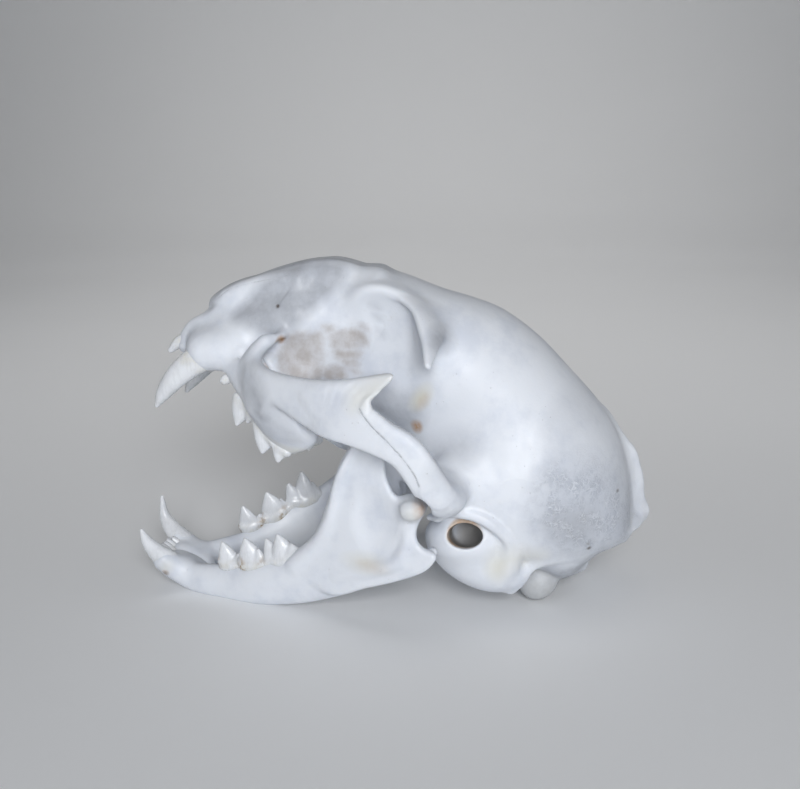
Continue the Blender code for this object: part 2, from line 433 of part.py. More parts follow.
def cut_at_chin(c):
    """The two halves meet at the chin without fusing."""
    c.cut(((-9, -60, -9), (SEAM / 2, 20, 50), lambda x, y, z: x - SEAM / 2 + 0 * (y + z)), 0)


def step_up(value, low, high):
    """0 below low, 1 above high and a smooth step between."""
    t = np.clip((value - low) / (high - low), 0, 1)
    return t * t * (3 - 2 * t)


def right_side(points):
    """Points of the left half of the lower jaw, moved over to the right half, which is bent up a little."""
    x, y, z = points.T
    bend = 2.4 * step_up(y, -34, -21) - 4.2 * step_up(y, -22, -6)
    return np.stack([-x, y, z - 0.25 + bend * step_up(z, 3, 11)], 1)


def half_jaw(side):
    c = Clay((-1, -54, -1), (32, 12, 43), 0.8 * GRID)
    jaw_bone(c)
    lower_teeth(c, side)
    cut_at_chin(c)
    return c


def whole_cranium():
    c = Clay((GRID / 2, -4, -14), (35, 97, 42))
    for step in (braincase, face, cheek_arch, underside, occiput, nostril, upper_teeth):
        step(c)
    c.field = np.concatenate([c.field[::-1], c.field])
    c.axes[0] = np.concatenate([-c.axes[0][::-1], c.axes[0]])
    canines(c)
    return c


# ---------------------------------------------------------------- from fields to pieces

CORNERS = [(i, j, k) for i in (0, 1) for j in (0, 1) for k in (0, 1)]


def one_piece(flags):
    """Whether the flagged corners of a cube hang together along its edges."""
    left = {q for q, on in zip(CORNERS, flags) if on}
    front = [left.pop()] if left else []
    while front:
        q = front.pop()
        for other in [r for r in left if sum(abs(a - b) for a, b in zip(q, r)) == 1]:
            left.remove(other)
            front.append(other)
    return not left


def without_pinches(field, step):
    """The field with bone added in each cell where its surface would touch itself."""
    n = np.array(field.shape) - 1
    bits = [[(code >> k) & 1 for k in range(8)] for code in range(256)]
    pinched = np.array([not (one_piece(b) and one_piece([1 - on for on in b])) for b in bits])
    while True:
        code = sum((field[i:n[0] + i, j:n[1] + j, k:n[2] + k] < 0).astype(np.uint8) << b
                   for b, (i, j, k) in enumerate(CORNERS))
        cells = np.argwhere(pinched[code])
        if len(cells) == 0:
            return field
        for q in CORNERS:
            at = tuple((cells + q).T)
            field[at] = np.minimum(field[at], -0.1 * step)


def surface(c):
    """Corners and four-sided faces of the surface of c."""
    field = without_pinches(np.pad(c.field, 1, constant_values=5), c.step)
    low = np.array([axis[0] - c.step for axis in c.axes], float)
    inside = field < 0
    n = np.array(field.shape) - 1
    total = sum(inside[i:n[0] + i, j:n[1] + j, k:n[2] + k].astype(np.uint8) for i, j, k in CORNERS)
    cells = np.argwhere((total > 0) & (total < 8))
    index = np.full(n, -1)
    index[tuple(cells.T)] = np.arange(len(cells))
    value = {q: field[tuple((cells + q).T)] for q in CORNERS}
    place, count = np.zeros((len(cells), 3)), np.zeros(len(cells))
    for q, a in value.items():
        for axis in range(3):
            if q[axis]:
                continue
            b = value[tuple(1 if k == axis else q[k] for k in range(3))]
            cross = (a < 0) != (b < 0)
            t = np.where(cross, a / np.where(cross, a - b, 1), 0)
            for k in range(3):
                place[:, k] += np.where(cross, q[k] + (t if k == axis else 0), 0)
            count += cross
    verts = (cells + place / count[:, None]) * c.step + low
    quads = []
    for axis in range(3):
        u, v = (axis + 1) % 3, (axis + 2) % 3
        first = np.take(inside, range(n[axis]), axis)
        second = np.take(inside, range(1, n[axis] + 1), axis)
        where = np.argwhere(first != second)
        flip = first[tuple(where.T)]
        ring = []
        for du, dv in ((-1, -1), (0, -1), (0, 0), (-1, 0)):
            cell = where.copy()
            cell[:, u] += du
            cell[:, v] += dv
            ring.append(index[tuple(cell.T)])
        quad = np.stack(ring, 1)
        quad[~flip] = quad[~flip, ::-1]
        quads.append(quad)
    return verts, np.concatenate(quads)


def mesh_object(name, verts, faces):
    mesh = bpy.data.meshes.new(name)
    mesh.from_pydata(np.asarray(verts).tolist(), [], np.asarray(faces).tolist() if len(faces) else [])
    obj = bpy.data.objects.new(name, mesh)
    bpy.context.scene.collection.objects.link(obj)
    return obj


def settle_modifiers(obj):
    """Give obj the mesh that its modifiers make."""
    made = bpy.data.meshes.new_from_object(obj.evaluated_get(bpy.context.evaluated_depsgraph_get()))
    obj.modifiers.clear()
    obj.data = made


def thinned(name, verts, quads, faces, even=False):
    obj = mesh_object(name, verts, quads)
    mod = obj.modifiers.new("thin", "DECIMATE")
    mod.ratio = faces / (2 * len(quads))
    mod.use_symmetry = even
    mod.use_collapse_triangulate = True
    settle_modifiers(obj)
    return obj


def prism(outline, axis, low, high):
    """A block with its outline across axis, from low to high along it."""
    u, v = [k for k in range(3) if k != axis]
    if axis == 1:
        outline = outline[::-1]
    verts = np.zeros((2 * len(outline), 3))
    verts[:, [u, v]] = np.vstack([outline, outline])
    verts[:len(outline), axis], verts[len(outline):, axis] = low, high
    n = len(outline)
    obj = mesh_object("block", verts, [])
    bm = bmesh.new()
    corners = [bm.verts.new(p) for p in verts]
    bm.faces.new(corners[:n])
    bm.faces.new(corners[n:])
    for i in range(n):
        j = (i + 1) % n
        bm.faces.new((corners[i], corners[j], corners[n + j], corners[n + i]))
    bmesh.ops.recalc_face_normals(bm, faces=bm.faces)
    bmesh.ops.triangulate(bm, faces=bm.faces)
    bm.to_mesh(obj.data)
    bm.free()
    return obj


def combine(obj, block, operation):
    mod = obj.modifiers.new(operation.lower(), "BOOLEAN")
    mod.operation = operation
    mod.solver = "EXACT"
    mod.object = block
    settle_modifiers(obj)


def largest_body(obj):
    """Keep the largest connected body of obj, without the chips that a cut can leave."""
    bm = bmesh.new()
    bm.from_mesh(obj.data)
    left, bodies = set(bm.verts), []
    while left:
        body, front = set(), [left.pop()]
        while front:
            vert = front.pop()
            body.add(vert)
            for edge in vert.link_edges:
                other = edge.other_vert(vert)
                if other in left:
                    left.remove(other)
                    front.append(other)
        bodies.append(body)
    bodies.sort(key=len)
    for body in bodies[:-1]:
        bmesh.ops.delete(bm, geom=list(body), context="VERTS")
    bmesh.ops.triangulate(bm, faces=bm.faces)
    bm.to_mesh(obj.data)
    bm.free()


def copy_of(obj, name):
    new = obj.copy()
    new.data = obj.data.copy()
    new.name = name
    bpy.context.scene.collection.objects.link(new)
    return new


def remove(*objects):
    for obj in objects:
        bpy.data.objects.remove(obj, do_unlink=True)


# ---------------------------------------------------------------- the named pieces

FAR = 60.0                 # well past the skull on every side
G = SEAM / 2
FRONT_CUT = [(15.0, -FAR), (15.0, -1.0), (13.3, 7), (13.3, 13), (17.5, 34), (17.5, FAR)]      # y, z
MIDDLE_CUT = [(42.3, -FAR), (42.3, FAR)]
BACK_CUT = [(76.2, -FAR), (76.2, 12), (80.5, 30), (80.5, FAR)]
ARCH = [(17.6, 13.0), (22.6, 30.2), (22.6, 48.9), (36, 48.9), (36, 13.0)]      # x, y around the cheek arch
ARCH_TOP = 23.6
CAPSULE = [(5.3, 58.2), (24, 58.2), (24, 76.2), (15.2, 76.2), (12.2, 79.8), (5.3, 79.8)]      # x, y
CAPSULE_TOP = [(4, -FAR), (4, 2.0), (14, 6.4), (16, 9.3), (26, 9.3), (26, -FAR)]      # x, z
CAPSULE_BLOCK = (30, 40, 100)      # top, front and back of the block that its outline cuts
CAPSULE_SEAM = 1.2 * SEAM          # wider than the others, since its roof slants


def shifted(line, by):
    return [(y + by, z) for y, z in line]


def grown(outline, by):
    """The closed outline with each of its edges moved outwards by `by`."""
    p = np.array(outline, float)
    run = np.roll(p, -1, 0) - p
    turn = np.sign(np.sum(p[:, 0] * np.roll(p[:, 1], -1) - p[:, 1] * np.roll(p[:, 0], -1)))
    after = turn * np.stack([run[:, 1], -run[:, 0]], 1) / np.linalg.norm(run, axis=1)[:, None]
    before = np.roll(after, 1, 0)
    return (p + by * (before + after) / (1 + np.sum(before * after, 1))[:, None]).tolist()


def on_side(outline, sign):
    """The outline, or its mirror image on the skull's right."""
    return outline if sign > 0 else [(-x, y) for x, y in outline][::-1]


def arch_block(sign, by):
    return prism(on_side(grown(ARCH, by), sign), 2, -FAR, ARCH_TOP + G + by)


def capsule_block(sign, by, rise):
    """The block around an ear capsule, by wider than its outline and rise higher."""
    top, front, back = CAPSULE_BLOCK
    block = prism(on_side(grown(CAPSULE, by), sign), 2, -FAR, top)
    roof = prism(on_side([(x, z + rise if z > -FAR else z) for x, z in CAPSULE_TOP], sign), 1, front, back)
    combine(block, roof, "INTERSECT")
    remove(roof)
    return block


def trim(piece, block, operation):
    combine(piece, block, operation)
    remove(block)


def divide(cranium):
    """Cut the cranium into the pieces that have names of their own."""
    slices = {
        "rostrum": [(-FAR, FAR), (-FAR, -FAR)] + shifted(FRONT_CUT, -G),
        "orbital_region": shifted(FRONT_CUT, G)[::-1] + shifted(MIDDLE_CUT, -G),
        "braincase": shifted(MIDDLE_CUT, G)[::-1] + shifted(BACK_CUT, -G),
        "occiput": shifted(BACK_CUT, G)[::-1] + [(3 * FAR, -FAR), (3 * FAR, FAR)]}
    pieces = []
    for side, sign in (("left", 1), ("right", -1)):
        arch = copy_of(cranium, "zygomatic_arch_" + side)
        trim(arch, arch_block(sign, -G), "INTERSECT")
        capsule = copy_of(cranium, "auditory_bulla_" + side)
        trim(capsule, capsule_block(sign, -G, 0), "INTERSECT")
        pieces += [arch, capsule]
    for name, outline in slices.items():
        piece = copy_of(cranium, name)
        trim(piece, prism(outline, 0, -FAR, FAR), "INTERSECT")
        for sign in (1, -1):
            if name != "occiput":
                trim(piece, arch_block(sign, G), "DIFFERENCE")
            if name in ("braincase", "occiput"):
                trim(piece, capsule_block(sign, G, CAPSULE_SEAM), "DIFFERENCE")
        pieces.append(piece)
    return pieces


def cranium_pose():
    tip = Matrix.Rotation(-np.radians(NOSE_UP), 4, "X") @ Matrix.Translation((0, -PIVOT[0], PIVOT[1]))
    up = Matrix.Translation((0, 0, LEAN_HEIGHT))
    return up @ Matrix.Rotation(-np.radians(LEAN), 4, "Y") @ up.inverted() @ tip


def material(name, colour):
    mat = bpy.data.materials.new(name)
    mat.use_nodes = True
    shader = mat.node_tree.nodes["Principled BSDF"]
    shader.inputs["Base Color"].default_value = (*colour, 1)
    shader.inputs["Roughness"].default_value = BONE_ROUGHNESS
    shader.inputs["Metallic"].default_value = 0.0
    return mat


def box_of(points):
    return points.min(0), points.max(0)


def stand_on_floor(pieces):
    """Sink the skull a little at the back and wear small flats where it touches the floor."""
    for piece in pieces:
        piece.data.transform(Matrix.Rotation(-np.radians(SETTLE), 4, "X"))
        if piece.name.startswith(("mandible", "occiput")):
            ground = prism([(-FAR, -FAR), (FAR, -FAR), (FAR, FAR), (-FAR, FAR)], 2, -FAR, FLOOR)
            trim(piece, ground, "DIFFERENCE")
        largest_body(piece)
    low, high = box_of(np.array([v.co[:] for piece in pieces for v in piece.data.vertices]))
    return Matrix.Scale(MM, 4) @ Matrix.Translation((-(low[0] + high[0]) / 2, -(low[1] + high[1]) / 2, -FLOOR))


def build():
    remove(*list(bpy.data.objects))
    cranium = thinned("cranium", *surface(whole_cranium()), CRANIUM_FACES, even=True)
    pieces = divide(cranium)
    remove(cranium)
    for piece in pieces:
        piece.data.transform(cranium_pose())
    pieces.append(thinned("mandible_left", *surface(half_jaw(1)), JAW_FACES))
    verts, quads = surface(half_jaw(-1))
    pieces.append(thinned("mandible_right", right_side(verts), quads[:, ::-1], JAW_FACES))
    to_metres = stand_on_floor(pieces)

    root = bpy.data.objects.new("cat_skull", None)
    bpy.context.scene.collection.objects.link(root)
    for piece in pieces:
        colour = BONE_GREY if piece.name == "occiput" else BONE_DENSE if "mandible" in piece.name else BONE
        piece.data.materials.clear()
        piece.data.materials.append(material(piece.name + "_bone", colour))
        piece.data.transform(to_metres)
        low, high = box_of(np.array([v.co[:] for v in piece.data.vertices]))
        centre = (low + high) / 2
        piece.data.transform(Matrix.Translation(-centre))
        piece.location = centre
        piece.parent = root
        piece.data.name = piece.name


build()
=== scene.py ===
"""A cat's skull as a museum model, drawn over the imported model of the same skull.

Lengths are in mm while a shape is made and in metres from there on. The cranium is shaped in its
own frame: x to the animal's left, y back from the incisors, z up from the line of the upper tooth
sockets. The lower jaw is shaped as it lies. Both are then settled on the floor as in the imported
model.
"""
import bpy
import numpy as np
from mathutils import Matrix, Vector


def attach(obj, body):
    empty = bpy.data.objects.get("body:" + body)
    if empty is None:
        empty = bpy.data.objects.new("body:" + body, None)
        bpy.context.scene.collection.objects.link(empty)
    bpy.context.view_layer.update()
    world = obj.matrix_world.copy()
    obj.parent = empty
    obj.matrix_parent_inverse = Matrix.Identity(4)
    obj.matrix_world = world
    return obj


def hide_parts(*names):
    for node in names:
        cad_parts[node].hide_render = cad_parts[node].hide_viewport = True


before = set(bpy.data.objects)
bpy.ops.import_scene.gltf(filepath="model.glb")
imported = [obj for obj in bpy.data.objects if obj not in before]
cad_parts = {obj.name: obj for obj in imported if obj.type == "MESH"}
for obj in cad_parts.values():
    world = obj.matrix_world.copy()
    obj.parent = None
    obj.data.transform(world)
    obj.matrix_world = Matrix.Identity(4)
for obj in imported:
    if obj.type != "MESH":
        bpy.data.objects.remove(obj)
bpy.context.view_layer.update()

MM = 0.001
BONE_GRID = 0.26      # spacing of the samples that the bones are drawn from
TOOTH_GRID = 0.13     # the same for the teeth
SEAM = 0.3                                   # gap between the halves of the lower jaw
FAR = 99.0                                   # well past the skull
OUTSIDE = 9.0                                # what a field says where no shape is near

NOSE_UP = 35.0             # how far the cranium is tipped back, degrees
LEAN = 2.5                 # how far the cranium leans to its right, degrees
SETTLE = 0.9               # how far the whole skull sinks at the back, degrees
FLOOR = 2.0                # height the feet are worn flat at
PIVOT = (64.0, 18.0)       # cranium y and -z that the tipping turns about
LEAN_HEIGHT = 40.0         # height of the line that the leaning turns about
FOOTPRINT = (0.1936, -0.7631)  # centre of the skull's box, before it becomes the origin

# the camera, in the frame of the unsettled skull
AIM = (0, 0, 40)
DISTANCE = 200.0
CAMERA_UP = 13.5           # degrees above the horizon
CAMERA_YAW = 3.0           # degrees behind the skull's left side
PIXELS_PER_MM = 5.2        # at the distance of AIM
PICTURE_WIDTH = 800        # pixels

# ------------------------ shapes as fields of distance

def smooth_min(a, b, blend):
    """The lower of two fields, with a fillet about blend wide."""
    if blend <= 0:
        return np.minimum(a, b)
    near = np.maximum(blend - np.abs(a - b), 0) / blend
    return np.minimum(a, b) - near * near * blend / 4


def spline(rows, places):
    """Points of a smooth curve through rows, where place 0 is at the second row."""
    i = places.astype(int)
    t = (places - i)[:, None]
    a, b, c, d = (rows[i + k] for k in range(4))
    cubic = 1.5 * (b - c) + (d - a) / 2
    return b + t * (c - a) / 2 + t * t * (a - 2.5 * b + 2 * c - d / 2) + t ** 3 * cubic


def curve(points, count):
    """count rows read from a smooth curve through the rows of points."""
    p = np.asarray(points, float)
    p = np.vstack([2 * p[0] - p[1], p, 2 * p[-1] - p[-2]])
    return spline(p, np.linspace(0, len(p) - 3 - 1e-9, count))


def grid_part(axes, low, high):
    """The part of a grid between two corners, and the coordinates of its samples."""
    part = tuple(slice(*np.searchsorted(axis, ends)) for axis, ends in zip(axes, zip(low, high)))
    return part, np.ix_(*(axis[inside] for axis, inside in zip(axes, part)))


def turned(pitch=0.0, yaw=0.0):
    """Rotation about x by pitch, then about z by yaw (degrees)."""
    p, w = np.radians([pitch, yaw])
    about_x = np.array([[1, 0, 0], [0, np.cos(p), -np.sin(p)], [0, np.sin(p), np.cos(p)]])
    about_z = np.array([[np.cos(w), -np.sin(w), 0], [np.sin(w), np.cos(w), 0], [0, 0, 1]])
    return about_z @ about_x


def ball(centre, radii, turn=np.eye(3)):
    """An ellipsoid."""
    c, r = np.asarray(centre, float), np.asarray(radii, float)
    reach = np.sqrt((turn * turn) @ (r * r))

    def distance(x, y, z):
        first = second = 0
        for n in range(3):
            q = ((x - c[0]) * turn[0, n] + (y - c[1]) * turn[1, n] + (z - c[2]) * turn[2, n]) / r[n]
            first = first + q * q
            second = second + (q / r[n]) ** 2
        first = np.sqrt(first)
        return first * (first - 1) / np.sqrt(second + 1e-9)
    return c - reach, c + reach, distance


def bar(points, sizes, side=(1, 0, 0), count=28, square=2.0):
    """A tapering rod through points. A size is its radius, or its radii along side and across it.

    Its section is an ellipse, or with square above 2 a flatter-sided one.
    """
    sizes = [s if hasattr(s, "__len__") else (s, s) for s in sizes]
    rows = curve(np.hstack([np.asarray(points, float), np.asarray(sizes, float)]), count)
    p, s = rows[:, :3], np.maximum(rows[:, 3:], 0.05)
    side = np.asarray(side, float)

    def distance(x, y, z):
        out = np.full(np.broadcast_shapes(x.shape, y.shape, z.shape), OUTSIDE, np.float32)
        flat = [x.ravel(), y.ravel(), z.ravel()]
        for a, b, sa, sb in zip(p[:-1], p[1:], s[:-1], s[1:]):
            pad = max(sa.max(), sb.max()) + 3
            part, grid = grid_part(flat, np.minimum(a, b) - pad, np.maximum(a, b) + pad)
            if out[part].size == 0:
                continue
            length = np.linalg.norm(b - a)
            along = (b - a) / length
            u = side - along * (side @ along)
            u = u / np.linalg.norm(u)
            v = np.cross(along, u)
            d = [axis - place for axis, place in zip(grid, a)]
            dt, du, dv = (d[0] * w[0] + d[1] * w[1] + d[2] * w[2] for w in (along, u, v))
            t = np.clip(dt / length, 0, 1)
            over = dt - t * length
            ru, rv = sa[0] + t * (sb[0] - sa[0]), sa[1] + t * (sb[1] - sa[1])
            ro = np.minimum(ru, rv)
            first = sum(np.abs(w / r) ** square for w, r in ((du, ru), (dv, rv), (over, ro))) ** (1 / square)
            second = np.sqrt((du / ru ** 2) ** 2 + (dv / rv ** 2) ** 2 + (over / ro ** 2) ** 2)
            out[part] = np.minimum(out[part], first * (first - 1) / np.maximum(second, 1e-6))
        return out
    return p.min(0) - s.max(), p.max(0) + s.max(), distance


def loft(stations):
    """A body along y, even about x = 0. A station is y, half width, top, bottom, squareness."""
    s = np.asarray(stations, float)
    rows = curve(s, 12 * len(s))

    def distance(x, y, z):
        at = rows[:, 0]
        w, top, bottom, n = (np.interp(y.ravel(), at, column).reshape(y.shape) for column in rows.T[1:])
        half = np.maximum((top - bottom) / 2, 0.2)
        ax, az = np.abs(x), np.abs(z - (top + bottom) / 2)
        rho = ((ax / w) ** n + (az / half) ** n) ** (1 / n)
        outer = np.sqrt(ax * ax + az * az) * (1 - 1 / np.maximum(rho, 1e-3))
        d = np.where(rho < 0.05, -np.minimum(w, half), outer)
        out = np.maximum(np.maximum(s[0, 0] - y, y - s[-1, 0]), 0)
        return np.where(out > 0, np.hypot(np.maximum(d, 0), out), d)
    low = (-s[:, 1].max(), s[0, 0], s[:, 3].min())
    high = (s[:, 1].max(), s[-1, 0], s[:, 2].max())
    return np.array(low), np.array(high), distance


def outline_field(points, step=0.2, margin=4.0, count=160):
    """Distance in a plane from a smooth closed outline, as a table, its low corner and its step."""
    p = np.asarray(points, float)
    loop = spline(np.vstack([p[-1], p, p[0], p[1]]), np.linspace(0, len(p), count, endpoint=False))
    low = loop.min(0) - margin
    shape = np.ceil((loop.max(0) + margin - low) / step).astype(int) + 1
    gx = low[0] + np.arange(shape[0])[:, None] * step
    gy = low[1] + np.arange(shape[1])[None, :] * step
    best, inside = np.full(shape, 1e9), np.zeros(shape, bool)
    for (ax, ay), (bx, by) in zip(loop, np.roll(loop, -1, 0)):
        ex, ey = bx - ax, by - ay
        t = np.clip(((gx - ax) * ex + (gy - ay) * ey) / (ex * ex + ey * ey + 1e-12), 0, 1)
        best = np.minimum(best, (gx - ax - t * ex) ** 2 + (gy - ay - t * ey) ** 2)
        if ay != by:
            inside ^= ((ay > gy) != (by > gy)) & (gx < ex * (gy - ay) / ey + ax)
    return np.where(inside, -1, 1) * np.sqrt(best), low, step


def read(table, p, q):
    """Values of an outline's table at the plane coordinates p and q."""
    grid, low, step = table
    i = np.clip((p - low[0]) / step, 0, grid.shape[0] - 1.001)
    j = np.clip((q - low[1]) / step, 0, grid.shape[1] - 1.001)
    a, b = i.astype(int), j.astype(int)
    i, j = i - a, j - b
    return ((grid[a, b] * (1 - i) + grid[a + 1, b] * i) * (1 - j)
            + (grid[a, b + 1] * (1 - i) + grid[a + 1, b + 1] * i) * j)


def as_function(value):
    """A function of (y, z) as it is, and a number as such a function."""
    return value if callable(value) else lambda y, z: value + 0 * y


def slab(outline, thickness, middle=0, edge=0.5):
    """An upright plate: outline in (y, z), with thickness and middle x as numbers or functions of (y, z)."""
    thickness, middle = as_function(thickness), as_function(middle)
    table = outline_field(outline)
    pts = np.asarray(outline, float)
    xs = [float(middle(y, z)) for y, z in pts]
    reach = max(float(thickness(y, z)) for y, z in pts) / 2

    def distance(x, y, z):
        half = thickness(y, z) / 2
        r = np.minimum(edge, half)
        e1, e2 = read(table, y, z) + r, np.abs(x - middle(y, z)) - half + r
        return np.minimum(np.maximum(e1, e2), 0) + np.hypot(np.maximum(e1, 0), np.maximum(e2, 0)) - r
    low = (min(xs) - reach, pts[:, 0].min(), pts[:, 1].min())
    high = (max(xs) + reach, pts[:, 0].max(), pts[:, 1].max())
    return np.array(low), np.array(high), distance


def socket(outline, wall, rim, slope, fillet=6.0):
    """An eye socket: outline in (y, z) at x = rim, closing in by slope down to the wall's x."""
    table = outline_field(outline)
    pts, w = np.asarray(outline, float), np.asarray(wall, float)

    def distance(x, y, z):
        side = read(table, y, z) + slope * np.maximum(rim - x, 0)
        floor = np.interp(y.ravel(), w[:, 0], w[:, 1]).reshape(y.shape) - x
        return -smooth_min(-side, -floor, fillet)
    low = (w[:, 1].min(), pts[:, 0].min(), pts[:, 1].min())
    return np.array(low), np.array((FAR, pts[:, 0].max(), pts[:, 1].max())), distance


class Clay:
    """A block of samples that shapes are added to and cut from."""

    def __init__(self, low, high, step=BONE_GRID):
        self.step = step
        self.axes = [np.arange(a, b + step, step, dtype=np.float32) for a, b in zip(low, high)]
        self.field = np.full([len(a) for a in self.axes], OUTSIDE, np.float32)

    def near(self, low, high, pad):
        """The part of the block within pad of a box, and the coordinates of its samples."""
        return grid_part(self.axes, np.array(low) - pad, np.array(high) + pad)

    def join(self, shape, blend, sign):
        """Add a shape with sign 1 or cut it with sign -1, with a fillet about blend wide."""
        low, high, distance = shape
        part, grid = self.near(low, high, blend + 1)
        if self.field[part].size:
            self.field[part] = sign * smooth_min(sign * self.field[part], distance(*grid), blend)

    def add(self, shape, blend):
        self.join(shape, blend, 1)

    def cut(self, shape, blend):
        self.join(shape, blend, -1)


# ------------------------ the cranium

VAULT = [  # y, half width, top, bottom, squareness
    (14, 7, 26, 9, 2.2), (18, 8.2, 28.6, 8, 2.4), (24, 9.2, 31.4, 7.5, 2.7), (30, 10, 33.9, 7.5, 2.8),
    (36, 12.6, 36.1, 9, 2.6), (42, 15.2, 38.2, 9.5, 2.3), (48, 16.6, 39.6, 9, 2.1), (56, 19.2, 39.4, 6, 2.05),
    (64, 21.3, 37.9, 3.5, 2.05), (72, 21.4, 36.1, 2.5, 2.05), (78, 19.8, 33.8, 2.5, 2.05),
    (84, 16.7, 29.2, 7, 2), (88, 13, 24.4, 12, 2), (91.2, 7.5, 20.6, 16, 2)]
SNOUT = [  # y, z
    (1.6, 8.9), (1.4, 10.4), (2.6, 13.6), (4.1, 15.9), (5.5, 17.5), (6.8, 19.4), (8.4, 21.6),
    (11.4, 25.2), (14.2, 27.8), (16.8, 29.6), (21, 31), (26, 31), (26, 8), (14, 3), (6, 1.3), (3, 0.6),
    (1.5, -0.6), (0.5, 0.4), (0.5, 1.9), (0.7, 4.3), (1.5, 5.8), (2.9, 7.4), (3, 8.6)]
SOCKET_RIM = [
    (18.2, 5.8), (15.6, 7.4), (15.1, 9.6), (15.8, 12.4), (17.2, 16), (18.4, 21), (19.9, 26), (23, 29.6),
    (29, 31.6), (33, 31.2), (36.6, 28.6), (41, 24.6), (47, 20), (49, 13), (44, 7), (34, 4.5), (24, 5.2)]
SOCKET_WALL = [(12, 11.6), (17, 11), (21, 10.2), (26, 9.6), (31, 9.9), (36, 11.6), (42, 14.2), (50, 17)]
CHEEK_ARCH = [  # x, y, z, half thickness, half height
    (17, 18.4, 6, 1.8, 1.8), (20.8, 22.4, 7.4, 1.8, 2.6), (24.2, 26.8, 9, 1.6, 3.8),
    (27.4, 31.2, 10.9, 1.4, 4.7), (29.6, 35.6, 12, 1.3, 3.9), (31.2, 40.5, 12.8, 1.25, 3),
    (31.6, 44.8, 13.3, 1.35, 2.9), (31.3, 49, 12, 1.45, 2.9), (29.8, 53, 10.2, 1.6, 3),
    (26.4, 56, 9.2, 1.9, 2.6), (20.2, 57, 9.4, 2, 2.6)]
BESIDE_EYE = [(26, 10), (28.6, 14.6), (30.8, 17.2), (33.2, 19.9), (35.6, 22.4), (36.5, 21.9), (35.9, 18.6),
              (35.4, 15.6), (36.4, 12.5), (31, 9)]
# the temple bone's end lies on the cheek bone as a thin plate: its seam and its whole outline in (y, z)
PLATE_SEAM = [(34.9, 14.8), (36.3, 14.2), (38.4, 13.7), (41, 13.4), (44.6, 12.7), (48.1, 11.5), (50.1, 10.2)]
PLATE = PLATE_SEAM + [(51.8, 8.6), (56, 9), (56, 20), (40, 21), (35.2, 18)]
PLATE_RISE = 0.22
TOP_CREST = [(78, 30), (74.5, 34.2), (79.4, 33.4), (83.7, 32.6), (86.2, 30.9), (88.6, 28.9), (91.4, 25.6),
             (93.2, 23.4), (91.6, 21.4), (86, 24)]
CREST_TOP = [(79, 84, 88.6, 91.4, 93.2), (33.4, 32.6, 28.9, 25.6, 23.4)]      # y, z of its edge
EAR_AXIS = [(23, 63.1, 4.5), (19.4, 63.8, 4.5), (15.5, 65, 3.8), (9.5, 66, 3.4)]
ALONG_EAR = (0, 0.82, 0.57)      # the long way of the ear opening


def braincase(c):
    c.add(loft(VAULT), 0)
    c.add(ball((8, 66, 14), (14.2, 19, 12.5)), 4)


